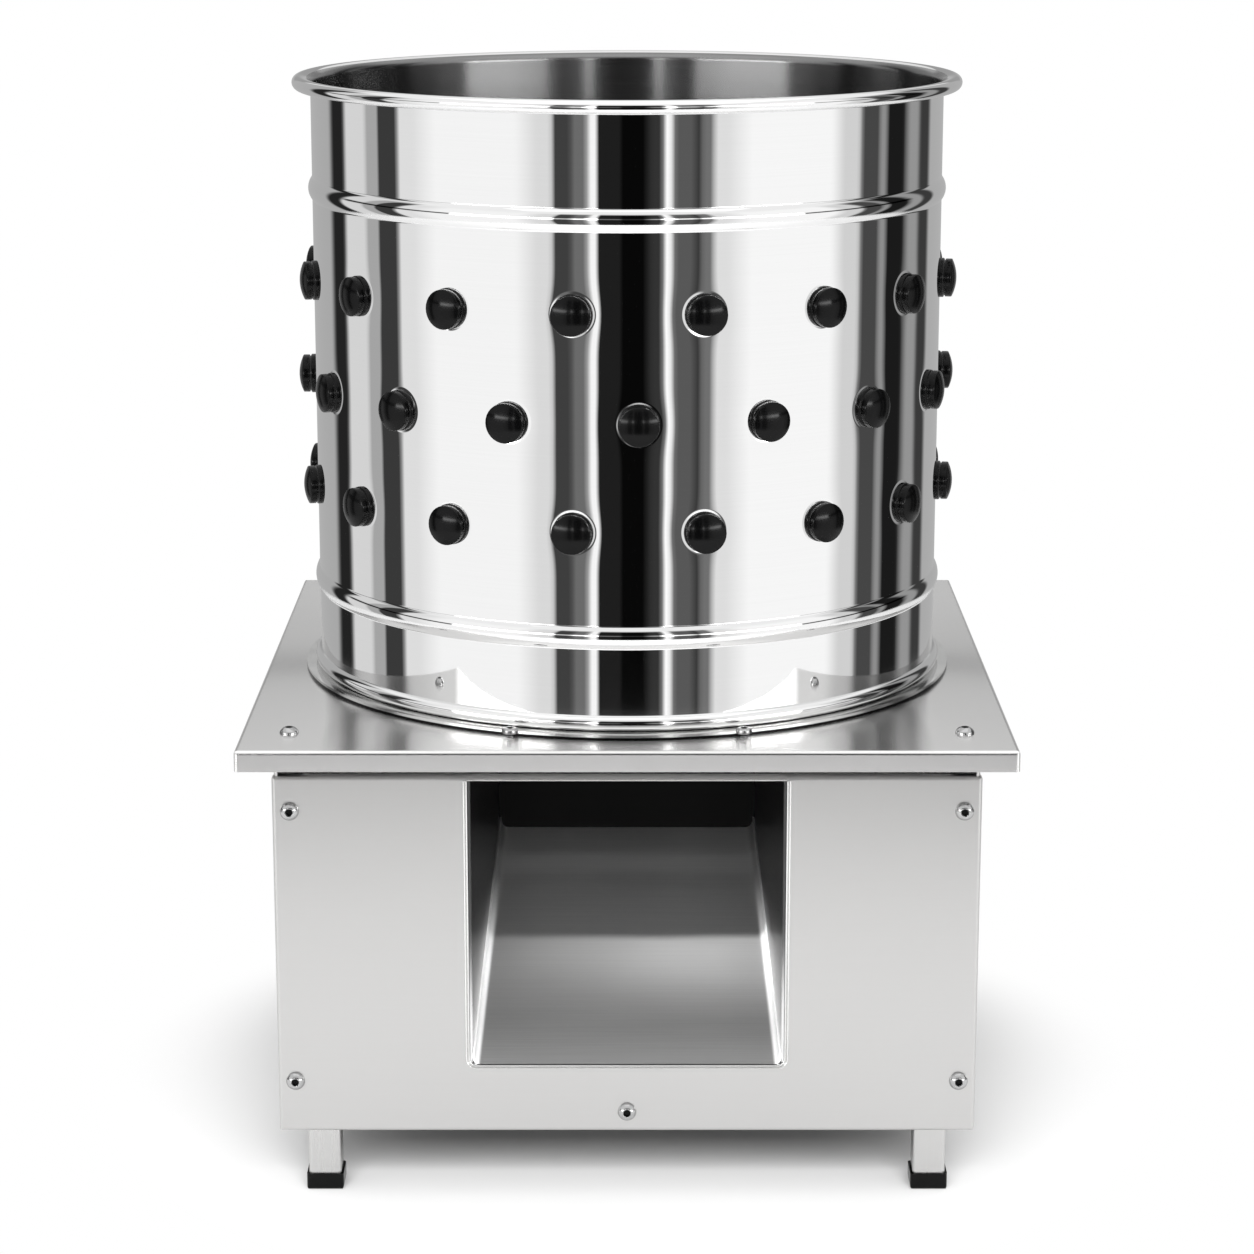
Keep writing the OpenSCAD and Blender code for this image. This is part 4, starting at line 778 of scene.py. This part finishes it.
def finger_rows(wall):
    """Profile from the tip to the dome; height 0 is the wall's outer face."""
    base = -wall - SHOULDER_H
    tip, tip_r = base - BODY, ROOT_R - TAPER
    rows = [(0, tip), (tip_r - 1.8, tip), (tip_r - 0.5, tip + 0.5), (tip_r, tip + 1.8)]
    for k in range(RIBS * RIB_STEPS + 1):
        z = tip + RIB_START + k * RIB_PITCH / RIB_STEPS
        root = ROOT_R - TAPER * (base - z) / BODY
        wave = 0.5 - 0.5 * math.cos(2 * math.pi * k / RIB_STEPS)
        rows.append((root + RIB_OUT * wave ** RIB_ROUND, z))
    rows += [(ROOT_R, base - 1.2), (ROOT_R + 0.5, base - 0.4)]
    rows += [(SHOULDER_R - 0.5, base), (SHOULDER_R, base + 0.5), (SHOULDER_R, -wall - 0.8)]
    rows += [(NECK_R, -wall - 0.4), (NECK_R, -0.8), (COLLAR_R - 0.4, -0.8)]
    rows += [(COLLAR_R, -0.3), (COLLAR_R, COLLAR_H)]
    rows += arc(COLLAR_R - COLLAR_ROUND, COLLAR_H, COLLAR_ROUND, 15, 90, 5)
    rows += [(GROOVE_R + 0.1, 4.05), (GROOVE_R, 4.2), (GROOVE_R, 4.85), (GROOVE_R + 0.15, 5.0)]
    rows += [(CAP_R - 0.35, 5.05), (CAP_R - 0.08, 5.2), (CAP_R, 5.5), (CAP_R, CAP_H)]
    rows += [(CAP_R - 0.06, CAP_H + 0.45), (CAP_R - 0.28, CAP_H + 0.8), (CAP_R - 0.6, CAP_H + 1.0)]
    dome = (CAP_R ** 2 + DOME_H ** 2) / (2 * DOME_H)
    lean = math.degrees(math.asin((CAP_R - 0.9) / dome))
    rows += [(max(r, 0), z) for r, z in arc(0, DOME_TOP - dome, dome, 90 - lean, 90, 12)]
    return rows


print("finger profile has", len(finger_rows(SHEET)), "points")

# %% Finger ring tree
ring_tree, given = new_tree("finger_ring", Segments="Int", Count="Int", Radius="Float", Height="Float",
                            Tilt="Float", Turn="Float", Material="Material")
finger = given["Geometry"].node("GeometryNodeGroup", {"group": lathe},
                                {0: given["Geometry"], "Segments": given["Segments"]})
index = finger.node("GeometryNodeInputIndex")
angle = given["Turn"] + index / given["Count"] * (2 * math.pi)
stand = finger.node("ShaderNodeCombineXYZ", {}, {
    "X": given["Radius"] * angle.maths("SINE", angle),
    "Y": given["Radius"] * angle.maths("COSINE", angle) * -1, "Z": given["Height"]})
holes = finger.node("GeometryNodePoints", {}, {"Count": given["Count"], "Position": stand})
lean = finger.node("FunctionNodeEulerToRotation", {}, {
    0: finger.node("ShaderNodeCombineXYZ", {}, {"X": given["Tilt"], "Z": angle})})
ring = finger.node("GeometryNodeInstanceOnPoints", {}, {
    "Points": holes, "Instance": finger, "Rotation": lean})
close_tree(ring, given["Material"])
print("finger ring tree has", len(ring_tree.nodes), "nodes")

# %% Fingers in the wall
FINGER_SEGMENTS = 32
for row, (name, height) in enumerate(zip(("low", "mid", "high"), ROW_Z)):
    fingers = make_piece(
        "wall_fingers_" + name, ring_tree, profile_mesh("wall_finger", finger_rows(SHEET)),
        Segments=FINGER_SEGMENTS, Count=FINGERS, Radius=DRUM_R * MM, Height=height * MM,
        Tilt=math.pi / 2, Turn=row_turn(row), Material=rubber)
    settle(fingers, "base", "rubber", "finger_row_" + name)
    fingers.visible_glossy = False

# %% [markdown]
# ## Fingers on the plate
# The turning plate carries three rings of the same fingers, standing up through
# its holes with their heads underneath. Each ring is made by the same tree with a
# half turn of tilt, and the three meshes are joined, because they move as one.

# %% Plate fingers
PLATE_Z, PLATE_T = 387.5, 4.0
PLATE_RINGS = ((6, 85.0), (10, 140.0), (14, 195.0))
joined = bmesh.new()
for number, ring_r in PLATE_RINGS:
    ring = make_piece(
        "plate_ring", ring_tree, profile_mesh("plate_finger", finger_rows(PLATE_T)),
        Segments=FINGER_SEGMENTS, Count=number, Radius=ring_r * MM, Height=PLATE_Z * MM,
        Tilt=math.pi, Turn=math.pi / 2 + math.pi / number, Material=rubber)
    joined.from_mesh(ring.data)
    bpy.data.objects.remove(ring)
plate_mesh = bpy.data.meshes.new("plate_fingers_set")
joined.to_mesh(plate_mesh)
joined.free()
plate_mesh.materials.append(rubber)
plate_set = bpy.data.objects.new("plate_fingers_set", plate_mesh)
scene.collection.objects.link(plate_set)
settle(plate_set, "feather_rotor", "rubber", "plate_fingers")
print("plate carries", sum(number for number, _ in PLATE_RINGS), "fingers")

# %% [markdown]
# ## Screws
# Domed screws with a key socket hold the panels and the table, and small ones hold
# the base ring. A screw is the lathe's profile again, this time with a six-sided
# socket. The places are points that carry a direction, the tree stands a screw on
# each, and a fixed seed turns every socket a little differently, as a hand leaves
# them.

# %% Screw tree
screw_tree, given = new_tree("screws", Profile="Object", Segments="Int", Seed="Int",
                             Material="Material")
shape = given["Geometry"].node("GeometryNodeObjectInfo", {},
                               {"Object": given["Profile"]}, out="Geometry")
screw = shape.node("GeometryNodeGroup", {"group": lathe}, {0: shape, "Segments": given["Segments"]})
facing = screw.node("GeometryNodeInputNamedAttribute", {"data_type": "FLOAT_VECTOR"},
                    {"Name": "facing"})
upright = screw.node("FunctionNodeAlignRotationToVector", {"axis": "Z"}, {"Vector": facing})
spin = screw.node("FunctionNodeRandomValue", {"data_type": "FLOAT"},
                  {"Min": 0.0, "Max": HEX, "Seed": given["Seed"]}, out=1)
twist = screw.node("FunctionNodeEulerToRotation", {}, {
    0: screw.node("ShaderNodeCombineXYZ", {}, {"Z": spin})})
set_by_hand = screw.node("FunctionNodeRotateRotation", {"rotation_space": "LOCAL"},
                         {"Rotation": upright, "Rotate By": twist})
placed = screw.node("GeometryNodeInstanceOnPoints", {}, {
    "Points": given["Geometry"], "Instance": screw, "Rotation": set_by_hand})
close_tree(placed, given["Material"])
print("screw tree has", len(screw_tree.nodes), "nodes")

# %% Panel and table screws
SCREW_SEGMENTS = 48


def screw_set(name, node, places, rows, seed):
    """Screws of one profile on (place in mm, direction) pairs, standing for a node."""
    mesh = bpy.data.meshes.new(name + "_places")
    mesh.from_pydata([[c * MM for c in place] for place, _ in places], [], [])
    directions = mesh.attributes.new("facing", "FLOAT_VECTOR", "POINT")
    for item, (_, direction) in zip(directions.data, places):
        item.vector = direction
    pattern = bpy.data.objects.new("screw_profile", profile_mesh("screw_profile", rows))
    piece = make_piece(name, screw_tree, mesh, Profile=pattern, Segments=SCREW_SEGMENTS,
                       Seed=seed, Material=screw_steel)
    bpy.data.objects.remove(pattern)
    settle(piece, "base", "polished_steel", node)


FRONT, BACK, UP = (0, -1, 0), (0, 1, 0), (0, 0, 1)
PANEL_X, PANEL_Y, PANEL_Z, SILL_SCREW_Z = 253.8, 267, (97, 312), 72
TABLE_X, TABLE_Y, TABLE_Z = 255.4, 239, 365.5
HEAD_R, HEAD_H, KEY_R, SUNK = 7.2, 4.6, 2.9, -0.4
panel_places = [((x, -PANEL_Y, z), FRONT) for x in (-PANEL_X, PANEL_X) for z in PANEL_Z]
panel_places += [((0, -PANEL_Y, SILL_SCREW_Z), FRONT)]
panel_places += [((x, PANEL_Y, z), BACK) for x in (-PANEL_X, PANEL_X) for z in PANEL_Z]
panel_places += [((x, y, TABLE_Z), UP) for x in (-TABLE_X, TABLE_X) for y in (-TABLE_Y, TABLE_Y)]
crown = [(0, SUNK), (7.0, SUNK), (HEAD_R, 0.0), (HEAD_R, 0.7), (7.08, 1.15), (6.75, 1.85)]
crown += [(6.2, 2.6), (5.5, 3.3), (4.75, 3.9), (4.1, 4.3), (3.6, 4.55), (3.35, HEAD_H)]
socket = [(KEY_R + 0.25, HEAD_H - 0.05, 0.6), (KEY_R, HEAD_H - 0.35, 1)]
socket += [(KEY_R, 1.6, 1), (1.2, 1.2, 1), (0, 1.1, 1)]
screw_set("button_head_screws", "button_screws", panel_places, crown + socket, seed=7)

# %% Base ring screws
RING_X, RING_Y = 88, 252
PAN_R, RING_KEY_R = 6.12, 2.5
ring_places = [((x, y, FOOT_Z), UP) for x in (-RING_X, RING_X) for y in (-RING_Y, RING_Y)]
pan = [(0, SUNK), (6.0, SUNK), (PAN_R, 0.0), (PAN_R, 1.7), (5.98, 2.3), (5.6, 2.85)]
pan += [(5.0, 3.2), (4.2, 3.38), (3.1, 3.4)]
key = [(2.75, 3.36, 0.6), (RING_KEY_R, 3.1, 1), (RING_KEY_R, 1.2, 1), (1.0, 0.9, 1), (0, 0.85, 1)]
screw_set("base_ring_screws", "flange_screws", ring_places, pan + key, seed=11)

# %% [markdown]
# ## The chute's floor
# The floor of the chute is a tray of bent sheet: it narrows towards the drum, its
# sides turn up in a round bend and its front turns down behind the panel. The tray
# is one cross section at each end of the slope with faces between them, so a short
# list of points is all it needs.

# %% Meshes from points
CRISP = math.radians(35)


def plain_piece(name, points, faces, material):
    """A closed mesh object from points in mm; edges sharper than CRISP stay so."""
    mesh = bpy.data.meshes.new(name)
    mesh.from_pydata([[c * MM for c in point] for point in points], [], faces)
    shape = bmesh.new()
    shape.from_mesh(mesh)
    bmesh.ops.recalc_face_normals(shape, faces=shape.faces)
    shape.to_mesh(mesh)
    shape.free()
    mesh.shade_smooth()
    mesh.set_sharp_from_angle(angle=CRISP)
    mesh.materials.append(material)
    piece = bpy.data.objects.new(name, mesh)
    scene.collection.objects.link(piece)
    print("made", name, "with", len(mesh.polygons), "faces")
    return piece


def loft(sections):
    """Faces between closed sections of equal length, with both ends closed."""
    size = len(sections[0])
    last = (len(sections) - 1) * size
    faces = [[a + k, a + (k + 1) % size, a + size + (k + 1) % size, a + size + k]
             for a in range(0, last, size) for k in range(size)]
    ends = [list(range(size)), list(range(last, last + size))]
    return [point for section in sections for point in section], faces + ends


def join(first, second):
    """Two sets of points and faces as one."""
    shift = len(first[0])
    return first[0] + second[0], first[1] + [[k + shift for k in face] for face in second[1]]


print("edges over", round(math.degrees(CRISP)), "degrees stay crisp")

# %% Chute tray
BEND, BEND_STEPS, EDGE_H, SLOPE_SKIN = 6.0, 8, 9.0, 1.81
# Half width, y and z of the tray's two ends
TRAY_LOW, TRAY_HIGH = (118.1, -265.5, 110.0), (103.2, -71.7, 240.85)
LIP_Z = 62.0


def tray_section(half, y, z):
    """Across the tray: floor, round bend and upturned edge, inside then outside."""
    bend_x = half - SHEET - BEND
    inner = arc(bend_x, BEND, BEND, -90, 0, BEND_STEPS) + [(half - SHEET, EDGE_H)]
    outer = [(half, EDGE_H)] + arc(bend_x, BEND, BEND + SHEET, 0, -90, BEND_STEPS)
    drop = SLOPE_SKIN - SHEET
    right = inner + [(x, up - drop) for x, up in outer]
    left = [(-x, up) for x, up in right[::-1]]
    return [(x, y, z + up) for x, up in right + left]


def lip_section(x):
    """Along the tray's front: the sheet turns down behind the panel."""
    front = [(-264.0, 109.8), (-264.7, 109.4), (-265.2, 108.6), (-265.5, 107.6), (-265.5, LIP_Z)]
    return [(x, y, z) for y, z in front + [(-264.0, LIP_Z), (-264.0, 107.6)]]


slope = loft([tray_section(*TRAY_LOW), tray_section(*TRAY_HIGH)])
lip = loft([lip_section(-TRAY_LOW[0]), lip_section(TRAY_LOW[0])])
tray = plain_piece("chute_tray", *join(slope, lip), chute_steel)
settle(tray, "base", "chute_steel", "chute_floor")

# %% [markdown]
# ## The outlet's edge
# The panel's edge is turned over round the outlet, so no raw sheet faces the hand
# that clears the feathers. Two fine ridges with a groove between them run down one
# side, along the sill with a small round corner at each end, and up the other side,
# and a single one closes the top.

# %% Outlet edge
OUTLET_X, SILL_Z, OUTLET_TOP, FACE_Y = 120.0, 110.0, 335.5, -267.0
RIDGE_W, RIDGE_OUT, RIDGE_STEPS, GROOVE = 1.5, 1.0, 10, 0.5
CORNER_R, CORNER_STEPS = 5.0, 8


def edge_section(x, z, out_x, out_z):
    """Two half-round ridges with a groove between; their inner edge is at (x, z)."""
    turns = [math.pi * k / RIDGE_STEPS for k in range(RIDGE_STEPS + 1)]
    ridge = [(RIDGE_W / 2 * (1 - math.cos(t)), -RIDGE_OUT * math.sin(t)) for t in turns]
    second = [(across + RIDGE_W + GROOVE, y) for across, y in ridge]
    back = [(2 * RIDGE_W + GROOVE, 0.2), (1.2, 0.2), (1.2, 1.4), (0, 1.4)]
    section = ridge + [(RIDGE_W, 0.15), (RIDGE_W + GROOVE, 0.15)] + second + back
    return [(x + out_x * across, FACE_Y + y, z + out_z * across) for across, y in section]


path = [(OUTLET_X, OUTLET_TOP, 1, 0)]
for k in range(CORNER_STEPS + 1):
    t = -math.pi / 2 * k / CORNER_STEPS
    x = OUTLET_X - CORNER_R + CORNER_R * math.cos(t)
    z = SILL_Z + CORNER_R + CORNER_R * math.sin(t)
    path.append((x, z, math.cos(t), math.sin(t)))
path += [(-x, z, -out_x, out_z) for x, z, out_x, out_z in path[::-1]]
around_sill = loft([edge_section(*step) for step in path])
over = loft([edge_section(x, OUTLET_TOP, 0, 1)[:RIDGE_STEPS + 1] for x in (-OUTLET_X, OUTLET_X)])
edge = plain_piece("outlet_edge", *join(around_sill, over), bright_steel)
settle(edge, "base", "polished_steel", "opening_hem")
